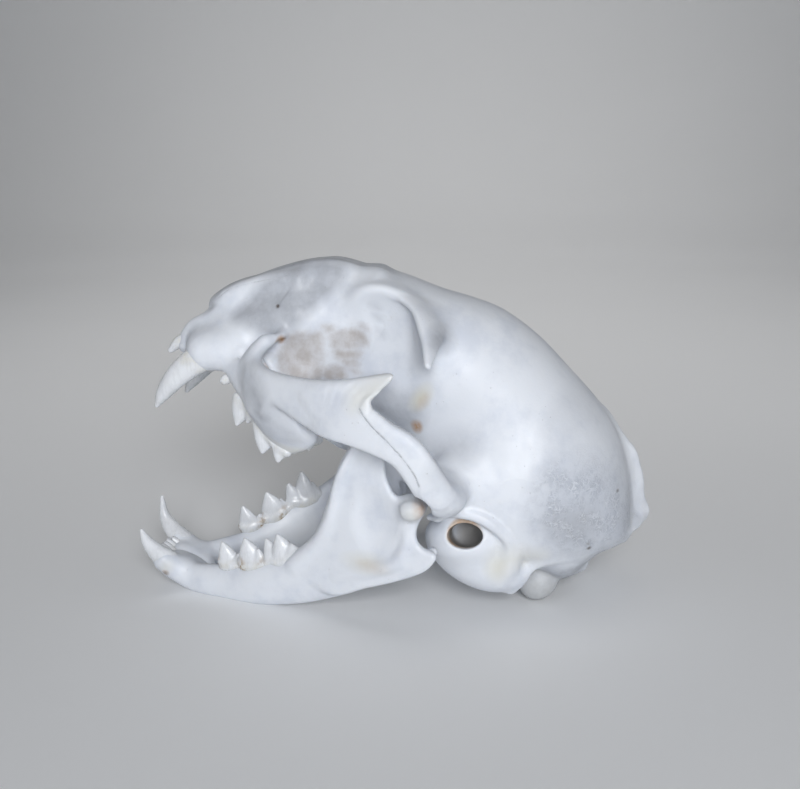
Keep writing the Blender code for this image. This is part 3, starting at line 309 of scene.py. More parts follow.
def face(c):
    # snout: nasal bones over the bone that holds the front teeth
    c.add(slab(SNOUT, lambda y, z: 9.6 + 0.5 * y - 0.22 * np.maximum(z - 10, 0), edge=3.2), 2)
    c.add(bar([(4.6, 4.1, 9.6), (4.5, 3.8, 7.2), (4.2, 2.6, 5.2), (4, 1.9, 3.6), (4.2, 1.9, 1.4),
               (4.6, 2.6, -0.2)], [0.8, 0.9, 1, 1.1, 1.3, 1.4]), 0.8)
    c.add(bar([(4.6, 4, 12), (5, 6, 15.6), (5.6, 9, 19), (6.4, 13, 22.6)], [0.8, 1, 1.2, 1.4]), 2.5)
    c.add(bar([(0, 6, 6), (0, 16, 7), (0, 28, 7), (0, 40, 8.5), (0, 52, 7), (0, 62, 7)],
              [(5.5, 5), (7.5, 6), (7.5, 6), (6.5, 6), (6.4, 4.6), (7.5, 4.6)]), 2)
    c.add(bar([(5.2, 8.5, 6), (6, 12.5, 11), (6.5, 17, 17)], [4, 4.2, 4]), 3)
    # brow over the eye sockets, running out into a pointed process
    c.add(ball((0, 33.5, 27.2), (20.5, 12.5, 7.2)), 2.5)
    c.add(bar([(12, 34.5, 29.8), (17, 37, 29.7), (21.3, 39, 28.1), (24.4, 40.4, 25.8)],
              [(5, 1.8), (3.2, 1.1), (1.7, 0.65), (0.5, 0.4)], side=(0, 1, 0.2)), 3)
    # bone that holds the upper teeth
    c.add(bar([(4, 3.4, 3), (7.6, 6.9, 2.7), (9.6, 11.6, 4.2), (11.6, 16.6, 3.6), (13.8, 22.6, 2.4),
               (15, 28.2, 0.4)], [(2.2, 2.4), (3.4, 2.9), (2.6, 2.9), (2.4, 3.4), (2.3, 3.4), (2, 2.9)]), 2.2)
    c.add(bar([(13.4, 15.4, 5.6), (15.8, 18.8, 4.4), (18, 23, 3.8), (20.4, 27.6, 5.2)],
              [(1.6, 2.8), (2, 3.6), (2, 3.8), (1.5, 3.4)], side=(0.85, -0.35, -0.55)), 4)
    c.add(bar([(16, 21, 1.8), (17, 25.5, 1.6), (17.4, 29.4, 3.4)], [1.4, 1.8, 1.4]), 4)
    c.add(bar([(8.7, 6.6, 1.6), (8.5, 9.6, 5.6), (7.8, 13.2, 10)], [3, 2.7, 1.4]), 2.5)
    # front root of the cheek arch
    c.add(bar([(13.4, 15.2, 11), (14.6, 15.6, 8.4), (15.6, 17.4, 5.8), (19.2, 22, 5.8)],
              [(1, 1.2), (1.4, 2), (1.7, 3), (2, 4.4)], side=(1, -0.5, 0)), 1.5)
    c.add(slab([(23.6, -1), (28.8, -3.4), (31.9, 0.2), (31.8, 3.9), (28, 6.5), (23, 4)], 2.6,
               lambda y, z: 15.2 + 0.1 * (y - 24) + 0.5 * z, edge=0.7), 3)
    c.cut(socket(SOCKET_RIM, SOCKET_WALL, rim=13, slope=0.7), 2.2)
    # rim of the socket at the front and along the brow
    c.add(bar([(11.4, 16.7, 13.4), (13, 15.2, 11.2), (14.5, 14.8, 8.8), (15.9, 15.9, 7), (18.2, 18.6, 6.9),
               (21.2, 22.8, 8.4), (24, 26.4, 10.4)], [0.3, 0.4, 0.5, 0.6, 0.7, 0.8, 0.8]), 2.8)
    c.add(bar([(11.4, 29.6, 31.2), (15.2, 34, 31.4), (19.8, 37.6, 29.2), (24.3, 40.2, 26.1)],
              [(0.6, 0.2), (0.9, 0.3), (0.8, 0.35), (0.45, 0.4)], side=(-0.85, 0.45, 0.25)), 1.3)
    # palate
    c.add(bar([(0, 4, 1.6), (0, 20, 1.8), (0, 37, 1.6)], [(5, 1.2), (11, 1.2), (8, 1.2)]), 1)


def cheek_arch(c):
    rows = np.array(CHEEK_ARCH)
    c.add(bar(rows[:, :3], rows[:, 3:], count=44, square=3), 2)
    c.add(ball((19, 57.4, 12.6), (3.4, 5.2, 3.6)), 3)
    # process behind the eye socket
    c.add(slab(BESIDE_EYE, 1.9, lambda y, z: 26.6 + 0.42 * (y - 30) + 0.12 * (z - 10), edge=0.8), 1.5)
    # hollow that the jaw hinges in, and the lip behind it
    c.add(ball((24, 54.4, 9.8), (6.6, 5, 3.1)), 2)
    c.add(bar([(22, 57.4, 7.4), (21.2, 57.3, 5.2), (21, 56.4, 3.8)], [(3.6, 1.4), (2.4, 0.9), (0.8, 0.5)]), 1)
    c.cut(bar([(14.5, 52.9, 5.4), (31.5, 52.3, 5.4)], [2.9, 2.9]), 0.4)


def underside(c):
    # walls of the passage behind the palate
    c.add(bar([(0, 33, 4.6), (0, 40, 5), (0, 50, 5.2), (0, 55, 6)],
              [(7.4, 4.4), (6.8, 5.2), (6.4, 5.4), (6.4, 3)]), 1.5)
    c.add(bar([(5.6, 47, 1.5), (5.8, 51.5, -0.6), (6, 53.4, -2)], [(0.8, 2.4), (0.8, 1.2), (0.7, 0.7)]), 1)
    c.cut(bar([(0, 37, 3.4), (0, 41, 3.2), (0, 47, 1.8), (0, 56, -1.5)],
              [(4.6, 2.6), (4.9, 3.6), (4.9, 4.6), (4.9, 4.6)]), 1)
    # ear capsule and the lip of bone over it
    c.add(ball((13.2, 68.6, 1.4), (6.4, 10.2, 6.2), turned(pitch=9, yaw=-10)), 1)
    c.add(bar([(18.2, 58, 4.8), (20.4, 60, 7.2), (21.4, 62.8, 8.9), (21.6, 66.2, 9.3), (20.8, 69.6, 8.6),
               (19.4, 72.2, 6.6)], [0.8, 1, 1.1, 1.1, 1, 0.8]), 1)
    # swelling around the ear opening, and the opening
    c.add(ball((15.6, 65, 3.5), (6, 7.4, 5), turned(pitch=35)), 1.8)
    c.add(bar([(18, 71.4, 7.4), (18.2, 73.2, 4.4), (17.4, 74, 1.2)], [2.2, 2, 1.1]), 1.5)
    c.cut(bar(EAR_AXIS, [(3.3, 2.4), (3.1, 2.2), (3.2, 2.6), (3.6, 3.2)], side=ALONG_EAR), 0.25)


def occiput(c):
    c.add(ball((0, 83, 10), (14, 5.5, 7.6)), 3)
    # crests: a ridge across the back that ends in a point behind each ear, and one along the top
    c.add(bar([(0, 91.2, 22.8), (4.2, 90.8, 21.2), (7.4, 89.1, 19.1), (10.2, 86.7, 16.8), (12.6, 83.7, 14.1),
               (14.4, 80.6, 11), (15.4, 78.2, 8.4), (15.7, 77.2, 5.2), (15.3, 77.2, 1.8), (14.9, 77.6, -0.3)],
              [(1.9, 1), (1.9, 0.9), (1.8, 0.8), (1.7, 0.8), (1.6, 0.8), (1.5, 0.8), (1.3, 0.8), (1.1, 0.8),
               (0.9, 0.7), (0.6, 0.6)], side=(0.3, 0.8, 0.5), count=44), 1.8)
    c.add(slab(TOP_CREST, lambda y, z: 1.6 + 1.3 * np.clip(np.interp(y, *CREST_TOP) - z, 0, 7)), 3)
    # knobs that bore on the neck, the opening between them and its upper rim
    c.add(ball((8.4, 82.2, 2.7), (3.3, 3.6, 4.2), turned(yaw=-20)), 0.8)
    c.add(bar([(0, 88.8, 8.9), (3.2, 88.3, 8.2), (5.4, 85.6, 5.8), (7.4, 82.8, 3.6)],
              [1.4, 1.4, 1.2, 1.2]), 1.5)
    c.cut(bar([(0, 93, -1.8), (0, 84, 2.6), (0, 75, 6.6)], [(6.2, 4.7), (5.9, 4.6), (5, 4)]), 0.8)


def nostril(c):
    c.cut(bar([(0, -2, 4.8), (0, 4, 5.6), (0, 9, 8), (0, 16, 12)],
              [(3.6, 3.4), (3.7, 3.5), (3.4, 3.6), (3, 3.6)]), 0.5)
    # thin wall that parts the two nostrils
    c.add(slab([(5.5, 1.6), (4.6, 4), (6, 8), (9, 13), (18, 17), (18, 6), (12, 2)], 0.9, edge=0.3), 0.4)
    # canal under the rim of the eye socket
    c.cut(bar([(12.7, 12.6, 7), (12.9, 15.5, 7), (13.8, 21, 8)], [(0.9, 1.4), (0.9, 1.6), (1.6, 1.8)]), 0.5)


# ------------------------ teeth

def cusps(c, *rows):
    """Cones, each given by its base, its tip and half measures across and along the row of teeth."""
    for base, tip, wide, long in rows:
        middle = np.array(base) + 0.55 * (np.array(tip) - base)
        c.add(bar([base, middle, tip], [(wide, long), (0.76 * wide, 0.66 * long), (0.32, 0.4)],
                  count=12), 0.5)


def canines(c):
    for sign, back in ((1, 0), (-1, 1.2)):
        c.add(bar([(sign * 9.3, 7.4 + 0.5 * back, 2.2), (sign * 9.8, 5.9 + 0.7 * back, -1),
                   (sign * 9.8, 4.95 + back, -4.7), (sign * 9.4, 4.6 + back, -8.6),
                   (sign * 9, 4.8 + back, -11.6)],
                  [(1.9, 2.8), (1.8, 2.5), (1.6, 2.1), (1.2, 1.45), 0.45]), 0.3)


def upper_teeth(c):
    for x, y, r, tip in ((1.1, 0.9, 0.8, -2), (2.7, 1, 0.85, -2), (4.4, 1.1, 1.15, -2.6)):
        c.add(bar([(x, y + 1, 1.5), (x, y, -0.6), (x, y - 0.4, tip)], [r, 0.95 * r, 0.5 * r]), 0.3)
    c.add(bar([(10.5, 13.2, 1.4), (10.5, 12.7, 0.2), (10.4, 12.4, -0.4)],
              [(0.8, 0.9), (0.75, 0.9), 0.4]), 0.3)
    # second front cheek tooth
    c.add(bar([(11.5, 17.2, -0.1), (11.9, 18.4, -0.5), (12.8, 20.6, -1.6)],
              [(1, 0.8), (1.4, 1.2), (1.2, 1.1)]), 0.4)
    cusps(c, ((11.9, 17.9, -0.2), (12.1, 19.1, -4.9), 1.4, 2.5),
          ((12.8, 20.3, -1.4), (12.9, 20.5, -3.1), 0.9, 1.1))
    # shearing tooth
    c.add(bar([(13.2, 21.2, -1.2), (14.4, 24.2, -1.6), (15.2, 27.2, -2.4), (15.6, 29.6, -2.8)],
              [(1.2, 1), (1.5, 1.5), (1.4, 1.4), (1.1, 0.9)]), 0.4)
    cusps(c, ((13.3, 21.6, -1.2), (13.3, 22.4, -3), 1, 1.2), ((14.3, 24, -1.3), (14.4, 25.9, -5.8), 1.4, 2.8),
          ((15.4, 28, -2.4), (15.6, 29.1, -5.1), 1, 1.8), ((12.2, 22.4, 0.2), (12.2, 22.6, -2.4), 1.1, 1.1))
    # last small tooth, across the row
    c.add(bar([(14.2, 31.4, 0.8), (12, 32.8, 1.4)], [1.1, 1]), 0.4)
    cusps(c, ((14.2, 31.9, 1.4), (14.6, 32.4, -0.3), 0.7, 0.8),
          ((12.6, 32.4, 1.4), (12.2, 32.6, -0.4), 0.8, 0.9))


def lower_teeth(c, side):
    for x, y in ((0.95, -47.6), (2.3, -47.4), (3.5, -46.6)):
        c.add(bar([(x, y + 1.8, 6.4), (x, y + 0.3, 7.9), (x, y - 0.1, 8.6)],
                  [(0.6, 0.9), (0.62, 0.8), (0.58, 0.35)]), 0.3)
    lean, rise = (0, 0) if side > 0 else (0.5, 1.2)
    tip = (7.8, -49.6, 14.3) if side > 0 else (7.6, -49.8, 16)
    c.add(bar([(5.2, -43.6, 5.8), (5.7, -45.2, 7.2), (6.7, -47.4 - lean, 9.6),
               (7.4, -48.9 - lean, 12.1), tip],
              [(1.4, 1.6), (1.85, 2.2), (1.4, 1.7), (0.95, 1.05), 0.35]), 0.3)
    c.add(bar([(9.5, -33.6, 9.2), (9.9, -31.8, 8.6), (10.5, -29.9, 9.4)],
              [(1, 0.9), (1.3, 1.3), (1, 0.8)]), 0.4)
    cusps(c, ((9.9, -32, 8.6), (9.7, -33.4, 12.7 + 0.5 * rise), 1.2, 2.3),
          ((10.4, -30.4, 9), (10.6, -30.2, 10.8), 0.9, 1))
    c.add(bar([(11.1, -29.5, 9.8), (11.9, -26.8, 9.3), (12.9, -23.8, 10.7)],
              [(1.1, 0.9), (1.5, 1.5), (1.1, 1)]), 0.4)
    cusps(c, ((11.8, -27.2, 9.6), (11.6, -28.7, 14.3 + 0.5 * rise), 1.3, 2.8),
          ((12.5, -25.4, 10.1), (12.5, -26, 12.5), 1, 1.3),
          ((12.9, -24, 10.5), (12.9, -24.3, 11.9), 0.9, 0.9))
    c.add(bar([(13, -23.4, 11.4), (13.9, -20.9, 11), (15, -18, 13.1)],
              [(1.3, 1.1), (1.6, 1.6), (1.1, 1.1)]), 0.4)
    cusps(c, ((13.3, -22.9, 11.4), (13, -24.3, 14.8 + 0.4 * rise), 1.1, 1.9),
          ((14, -20.6, 11.8), (13.9, -22 + 0.4 * rise, 16.1 + rise), 1.4, 2.6),
          ((14.7, -19, 12.8), (14.6, -19.4, 14.6 + 0.4 * rise), 1, 1.5))


# ------------------------ the lower jaw

JAW_BODY = [  # x, y, z, half width, half height
    (3, -44.6, 5.5, 2.2, 2.1), (6, -40, 4.1, 2.1, 2.9), (8.9, -33, 4.5, 2.1, 3.5), (10.9, -28.5, 5, 2.2, 3.9),
    (12.4, -25, 5.8, 2.2, 4.3), (14.8, -18, 7.8, 2.3, 4.7), (17.4, -11, 10.7, 1.9, 4.8),
    (20.4, -4, 13.6, 1.4, 4.1), (22.4, 1.5, 15.3, 1.2, 3.3)]
JAW_BRANCH = [  # y, z
    (-18.5, 12), (-14.4, 17), (-12, 22.4), (-10.4, 28), (-8.8, 32.5), (-6.2, 37.2),
    (-3.6, 39.8), (-1.8, 38.8), (-1.4, 34.5), (-1, 30.5), (0.8, 27.4), (3.9, 27.2), (4.2, 23.4), (4.1, 20.6),
    (5.2, 18.8), (7.4, 17.9), (7.4, 16.6), (5.3, 14.2), (0.5, 11.7), (-5, 9.4), (-12, 6.8)]


def jaw_bone(c):
    rows = np.array(JAW_BODY)
    c.add(bar(rows[:, :3], rows[:, 3:], count=40), 0)
    c.add(ball((2, -42.2, 4.5), (2.8, 4.8, 2.5), turned(pitch=-25)), 2)
    c.add(bar([(4.4, -41, 4.2), (5.5, -43.8, 5.8), (6.1, -46, 7.6)],
              [(2.5, 2.2), (2.35, 2.45), (2.1, 2.2)]), 1.5)
    c.add(slab(JAW_BRANCH, 2.1, lambda y, z: 23.2 + 0.36 * y - 0.004 * y * y, edge=0.9), 1.2)
    c.add(bar([(15.6, -18.4, 11.4), (17.3, -13.3, 17.2), (18.7, -10.8, 24), (19.7, -8.7, 31), (20.6, -6, 36)],
              [1.5, 1.5, 1.3, 1.1, 0.8]), 1.5)
    # hinge and its neck
    c.add(bar([(18.4, 4.6, 25.2), (23.5, 3.7, 25.9), (27.2, 3.3, 26.2)],
              [(1.5, 1.3), (2.3, 1.8), (2.2, 1.75)], side=(0, 1, 0)), 2)
    c.add(bar([(22.6, -1, 22), (23.4, 2.8, 24.6)], [(1.4, 2.4), (2, 2)]), 1.6)
    # hooked angle of the jaw
    c.add(bar([(22.2, 0.5, 14.1), (23.2, 4.5, 15.9), (23.5, 7, 17.3)], [(1.2, 2), (1.2, 1.6), 0.8]), 1)
    # hollow for the chewing muscle and the ridge under it
    c.add(bar([(18.9, -10, 11), (22.1, -3.7, 13.5), (23.9, 0.3, 15.3), (24.7, 2.3, 18.6), (24.3, 2.9, 22.4)],
              [1.3, 1.4, 1.3, 1, 0.9]), 1)
    c.cut(ball((25.4, -4.4, 22.6), (3.5, 6.9, 9), turned(yaw=-20)), 0.4)
    c.add(bar([(17.4, -14.6, 15.6), (19.4, -11.7, 21.6), (20.4, -10.2, 28), (21.2, -8.9, 31.6),
               (21.9, -6.4, 36.4)], [0.7, 0.7, 0.7, 0.65, 0.6]), 0.7)


def cut_at_chin(c):
    """The two halves meet at the chin without fusing."""
    c.cut(((-FAR, -FAR, -FAR), (SEAM / 2, FAR, FAR), lambda x, y, z: x - SEAM / 2 + 0 * (y + z)), 0)


def step_up(value, low, high):
    """0 below low, 1 above high and a smooth step between."""
    t = np.clip((value - low) / (high - low), 0, 1)
    return t * t * (3 - 2 * t)


def right_side(points):
    """Points of the left half of the lower jaw, moved over to the right half, which bends up, then down."""
    x, y, z = points.T
    bend = 2.4 * step_up(y, -34, -21) - 4.2 * step_up(y, -22, -6)
    return np.stack([-x, y, z - 0.25 + bend * step_up(z, 3, 11)], 1)


# opposite corners of the blocks that hold a half of the cranium and of the jaw, and their rows of teeth
CRANIUM_BLOCK = (BONE_GRID / 2, -4, -14), (35, 97, 42)
JAW_BLOCK = (-1, -54, -1), (32, 12, 43)
UPPER_ROW_BLOCK = (TOOTH_GRID / 2, -2, -13), (19, 34, 4)
LOWER_ROW_BLOCK = (0, -52, 2), (20, -14, 19)


def half_jaw():
    c = Clay(*JAW_BLOCK)
    jaw_bone(c)
    cut_at_chin(c)
    return c


def plate_on_arch(c):
    """The end of the temple bone, raised over the cheek bone."""
    part, (x, y, z) = c.near((28, 34, 6), (36, 58, 20), 0)
    flat = np.stack([a.ravel() for a in np.broadcast_arrays(30, y[0], z[0])], 1)
    rise = zone(flat, PLATE, 0, soft=0.5).reshape(1, y.size, z.size)
    c.field[part] -= PLATE_RISE * rise * np.clip((x - 29) / 2, 0, 1)


def whole_cranium():
    c = Clay(*CRANIUM_BLOCK)
    for step in (braincase, face, cheek_arch, underside, occiput, nostril, plate_on_arch):
        step(c)
    return even(c)


def upper_row():
    c = Clay(*UPPER_ROW_BLOCK, TOOTH_GRID)
    upper_teeth(c)
    even(c)
    canines(c)
    return c


def lower_row(side):
    c = Clay(*LOWER_ROW_BLOCK, TOOTH_GRID)
    lower_teeth(c, side)
    return c


# ------------------------ from fields to pieces

CORNERS = [(i, j, k) for i in (0, 1) for j in (0, 1) for k in (0, 1)]


def surface(c):
    """Corners and four-sided faces of the surface of c."""
    field = np.pad(c.field, 1, constant_values=5)
    low = np.array([axis[0] - c.step for axis in c.axes], float)
    inside = field < 0
    n = np.array(field.shape) - 1
    total = sum(inside[i:n[0] + i, j:n[1] + j, k:n[2] + k].astype(np.uint8) for i, j, k in CORNERS)
    cells = np.argwhere((total > 0) & (total < 8))
    index = np.full(n, -1, np.int32)
    index[tuple(cells.T)] = np.arange(len(cells))
    value = {q: field[tuple((cells + q).T)] for q in CORNERS}
    place, count = np.zeros((len(cells), 3)), np.zeros(len(cells))
    for q, a in value.items():
        for axis in range(3):
            if q[axis]:
                continue
            b = value[tuple(1 if k == axis else q[k] for k in range(3))]
            cross = (a < 0) != (b < 0)
            t = np.where(cross, a / np.where(cross, a - b, 1), 0)
            for k in range(3):
                place[:, k] += np.where(cross, q[k] + (t if k == axis else 0), 0)
            count += cross
    verts = (cells + place / count[:, None]) * c.step + low
    quads = []
    for axis in range(3):
        u, v = (axis + 1) % 3, (axis + 2) % 3
        first = np.take(inside, range(n[axis]), axis)
        second = np.take(inside, range(1, n[axis] + 1), axis)
        where = np.argwhere(first != second)
        flip = first[tuple(where.T)]
        ring = []
        for du, dv in ((-1, -1), (0, -1), (0, 0), (-1, 0)):
            cell = where.copy()
            cell[:, u] += du
            cell[:, v] += dv
            ring.append(index[tuple(cell.T)])
        quad = np.stack(ring, 1)
        quad[~flip] = quad[~flip, ::-1]
        quads.append(quad)
    return verts, np.concatenate(quads)


def even(c):
    """c with its other half, across x = 0."""
    c.field = np.concatenate([c.field[::-1], c.field])
    c.axes[0] = np.concatenate([-c.axes[0][::-1], c.axes[0]])
    return c


def opened(c, verts, reach=1.2):
    """How open the surface is at each corner: above 0 on ridges, below 0 in hollows, in mm."""
    width = max(1, int(round(reach / c.step)))
    field = np.pad(np.clip(c.field, -1.5 * reach, 1.5 * reach), width, mode="edge")
    for axis in range(3):
        total = np.cumsum(field, axis, dtype=np.float64)
        total = np.concatenate([np.zeros_like(np.take(total, [0], axis)), total], axis)
        size = 2 * width + 1
        last = total.shape[axis]
        field = (np.take(total, range(size, last), axis) - np.take(total, range(last - size), axis)) / size
    at = np.stack([(verts[:, k] - c.axes[k][0]) / c.step for k in range(3)], 1).round().astype(int)
    at = np.clip(at, 0, np.array(field.shape) - 1)
    return field[tuple(at.T)]


def folded(verts):
    """Corners with those of the right side moved over to the left."""
    return np.column_stack([np.abs(verts[:, 0]), verts[:, 1:]])


def line_distance(verts, line):
    """Distance in mm from each corner to a smooth line, on either side of the skull."""
    p = folded(verts)
    best = np.full(len(p), 1e9)
    rows = curve(line, 6 * len(line))
    for a, b in zip(rows[:-1], rows[1:]):
        run = b - a
        t = np.clip((p - a) @ run / (run @ run + 1e-9), 0, 1)
        best = np.minimum(best, np.sum((p - a - t[:, None] * run) ** 2, 1))
    return np.sqrt(best)


def patches(verts, rows):
    """Soft oval patches on either side of the skull, added up. A row is strength, centre, radii."""
    p = folded(verts)
    return sum(strength * np.clip(1 - np.sqrt(np.sum(((p - centre) / radii) ** 2, 1)), 0, 1)
               for strength, centre, radii in rows)


def zone(verts, outline, inner, outer=FAR, soft=2.0):
    """1 within an outline in (y, z) on either side of the skull, from inner to outer mm out."""
    x = np.abs(verts[:, 0])
    depth = np.clip(0.5 - read(outline_field(outline), verts[:, 1], verts[:, 2]) / soft, 0, 1)
    return depth * np.clip(x - inner + 0.5, 0, 1) * np.clip(outer - x + 0.5, 0, 1)


def zones(verts, rows):
    """Zones added up. A row is strength, outline, inner, outer, softness."""
    return sum(strength * zone(verts, *row) for strength, *row in rows)


def thin_spots(verts, outlines, outer, soft):
    """1 within any of some outlines on the wall of the eye socket."""
    return np.max([zone(verts, outline, SOCKET_FROM, outer, soft) for outline in outlines], axis=0)


def piece(name, clay, nodes, material, pose, layers, moved=None):
    """The surface of clay as a piece at its pose, with values at each corner for each of its layers.

    moved takes a piece's corners over to the right side, and its faces are turned back the right way.
    """
    verts, quads = surface(clay)
    layer_values = layers(clay, verts)
    if moved:
        verts, quads = moved(verts), quads[:, ::-1]
    place = np.array(pose)
    verts = verts * MM @ place[:3, :3].T + place[:3, 3]
    verts[:, 2] = np.maximum(verts[:, 2], 0)     # worn flat where it rests
    mesh = bpy.data.meshes.new(name)
    mesh.vertices.add(len(verts))
    mesh.vertices.foreach_set("co", verts.astype(np.float32).ravel())
    mesh.loops.add(quads.size)
    mesh.loops.foreach_set("vertex_index", quads.astype(np.int32).ravel())
    mesh.polygons.add(len(quads))
    mesh.polygons.foreach_set("loop_start", np.arange(0, quads.size, 4, dtype=np.int32))
    mesh.polygons.foreach_set("use_smooth", np.ones(len(quads), bool))
    mesh.update(calc_edges=True)
    for layer, values in layer_values.items():
        mesh.attributes.new(layer, "FLOAT", "POINT").data.foreach_set("value", values.astype(np.float32))
    mesh.materials.append(material)
    obj = placed(name, mesh)
    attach(obj, "root")
    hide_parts(*nodes)


def placed(name, data):
    """A new object in the scene."""
    obj = bpy.data.objects.new(name, data)
    bpy.context.scene.collection.objects.link(obj)
    return obj


def settled():
    """From the unsettled skull, in metres, to its place on the floor."""
    shift = Matrix.Translation((-FOOTPRINT[0] * MM, -FOOTPRINT[1] * MM, -FLOOR * MM))
    return shift @ Matrix.Rotation(-np.radians(SETTLE), 4, "X")


def cranium_pose():
    """From the cranium's own frame, in metres, to its place on the floor."""
    to_pivot = Matrix.Translation((0, -PIVOT[0] * MM, PIVOT[1] * MM))
    tip = Matrix.Rotation(-np.radians(NOSE_UP), 4, "X")
    up = Matrix.Translation((0, 0, LEAN_HEIGHT * MM))
    lean = Matrix.Rotation(-np.radians(LEAN), 4, "Y")
    return settled() @ up @ lean @ up.inverted() @ tip @ to_pivot


# ------------------------ materials

class Graph:
    """A material's nodes, made by short calls that return the node's first output."""

    def __init__(self, name):
        self.material = bpy.data.materials.new(name)
        self.material.use_nodes = True
        self.tree = self.material.node_tree
        self.shader = self.tree.nodes["Principled BSDF"]
        self.coords = self.tree.nodes.new("ShaderNodeTexCoord").outputs["Object"]

    def set(self, node, values):
        for key, value in values.items():
            socket = node.inputs[key]
            if isinstance(value, bpy.types.NodeSocket):
                self.tree.links.new(value, socket)
            elif socket.type == "RGBA":
                socket.default_value = (*value, 1)
            else:
                socket.default_value = value

    def node(self, kind, inputs, **settings):
        """A new node of a kind, with its inputs and settings."""
        node = self.tree.nodes.new(kind)
        for key, value in settings.items():
            setattr(node, key, value)
        self.set(node, inputs)
        return node

    def layer(self, name):
        return self.node("ShaderNodeAttribute", {}, attribute_name=name).outputs["Fac"]

    def math(self, operation, a, b=0.0, c=0.0):
        return self.node("ShaderNodeMath", {0: a, 1: b, 2: c}, operation=operation).outputs[0]

    def times(self, a, b):
        return self.math("MULTIPLY", a, b)

    def stretch(self, factors):
        """The object's coordinates, multiplied by factors."""
        values = {0: self.coords, 1: factors}
        return self.node("ShaderNodeVectorMath", values, operation="MULTIPLY").outputs[0]

    def noise(self, size, detail=4.0, rough=0.55, coords=None, twist=0.0):
        """Noise from 0 to 1 with features about size mm wide."""
        values = {"Vector": coords or self.coords, "Scale": 1 / (size * MM), "Detail": detail,
                  "Roughness": rough, "Distortion": twist}
        return self.node("ShaderNodeTexNoise", values).outputs["Fac"]

    def cells(self, size, feature="F1", coords=None):
        """Distance from the middles of cells about size mm wide, or as feature says from their edges."""
        values = {"Vector": coords or self.coords, "Scale": 1 / (size * MM)}
        return self.node("ShaderNodeTexVoronoi", values, feature=feature).outputs["Distance"]

    def warped(self, size, amount):
        """The object's coordinates, pushed about by noise with features size mm wide, by up to amount mm."""
        values = {"Vector": self.coords, "Scale": 1 / (size * MM), "Detail": 2.0}
        push = self.node("ShaderNodeTexNoise", values).outputs["Color"]
        values = {0: push, 1: (amount * MM,) * 3, 2: self.coords}
        return self.node("ShaderNodeVectorMath", values, operation="MULTIPLY_ADD").outputs[0]

    def span(self, value, low, high, to_low=0.0, to_high=1.0):
        """value, read from low to high, as a number from to_low to to_high."""
        values = {"Value": value, "From Min": low, "From Max": high, "To Min": to_low, "To Max": to_high}
        return self.node("ShaderNodeMapRange", values, interpolation_type="SMOOTHSTEP").outputs["Result"]

    def mix(self, amount, a, b):
        """Colour a turned into b by amount."""
        return self.node("ShaderNodeMix", {0: amount, 6: a, 7: b}, data_type="RGBA").outputs[2]

    def coat(self, colour, *coats):
        """colour under some coats, each an amount and a colour."""
        for amount, over in coats:
            colour = self.mix(amount, colour, over)
        return colour

    def bump(self, height, depth, strength=1.0, below=None):
        """Relief depth mm high where height goes from 0 to 1, on top of the relief below."""
        values = {"Strength": strength, "Distance": depth * MM, "Height": height}
        if below:
            values["Normal"] = below
        return self.node("ShaderNodeBump", values).outputs["Normal"]

    def finish(self, colour, roughness, normal, **constants):
        self.set(self.shader, {"Base Color": colour, "Roughness": roughness, "Normal": normal, **constants})
        return self.material


WHITE = (0.74, 0.77, 0.82)
GREY = (0.56, 0.60, 0.68)
TRANSLUCENT_AND_SHADE = (0.40, 0.42, 0.46)
TAN = (0.42, 0.385, 0.365)
CREAM = (0.64, 0.62, 0.52)
AMBER = (0.42, 0.22, 0.08)
DARK = (0.10, 0.08, 0.07)
BROWN = (0.30, 0.19, 0.08)
ENAMEL = (0.74, 0.76, 0.79)
SKIN_DEPTH = {"Subsurface Weight": 0.25, "Subsurface Radius": (1.0, 0.9, 0.8), "Subsurface Scale": 0.0012}


def shade(colour, factor):
    return tuple(c * factor for c in colour)


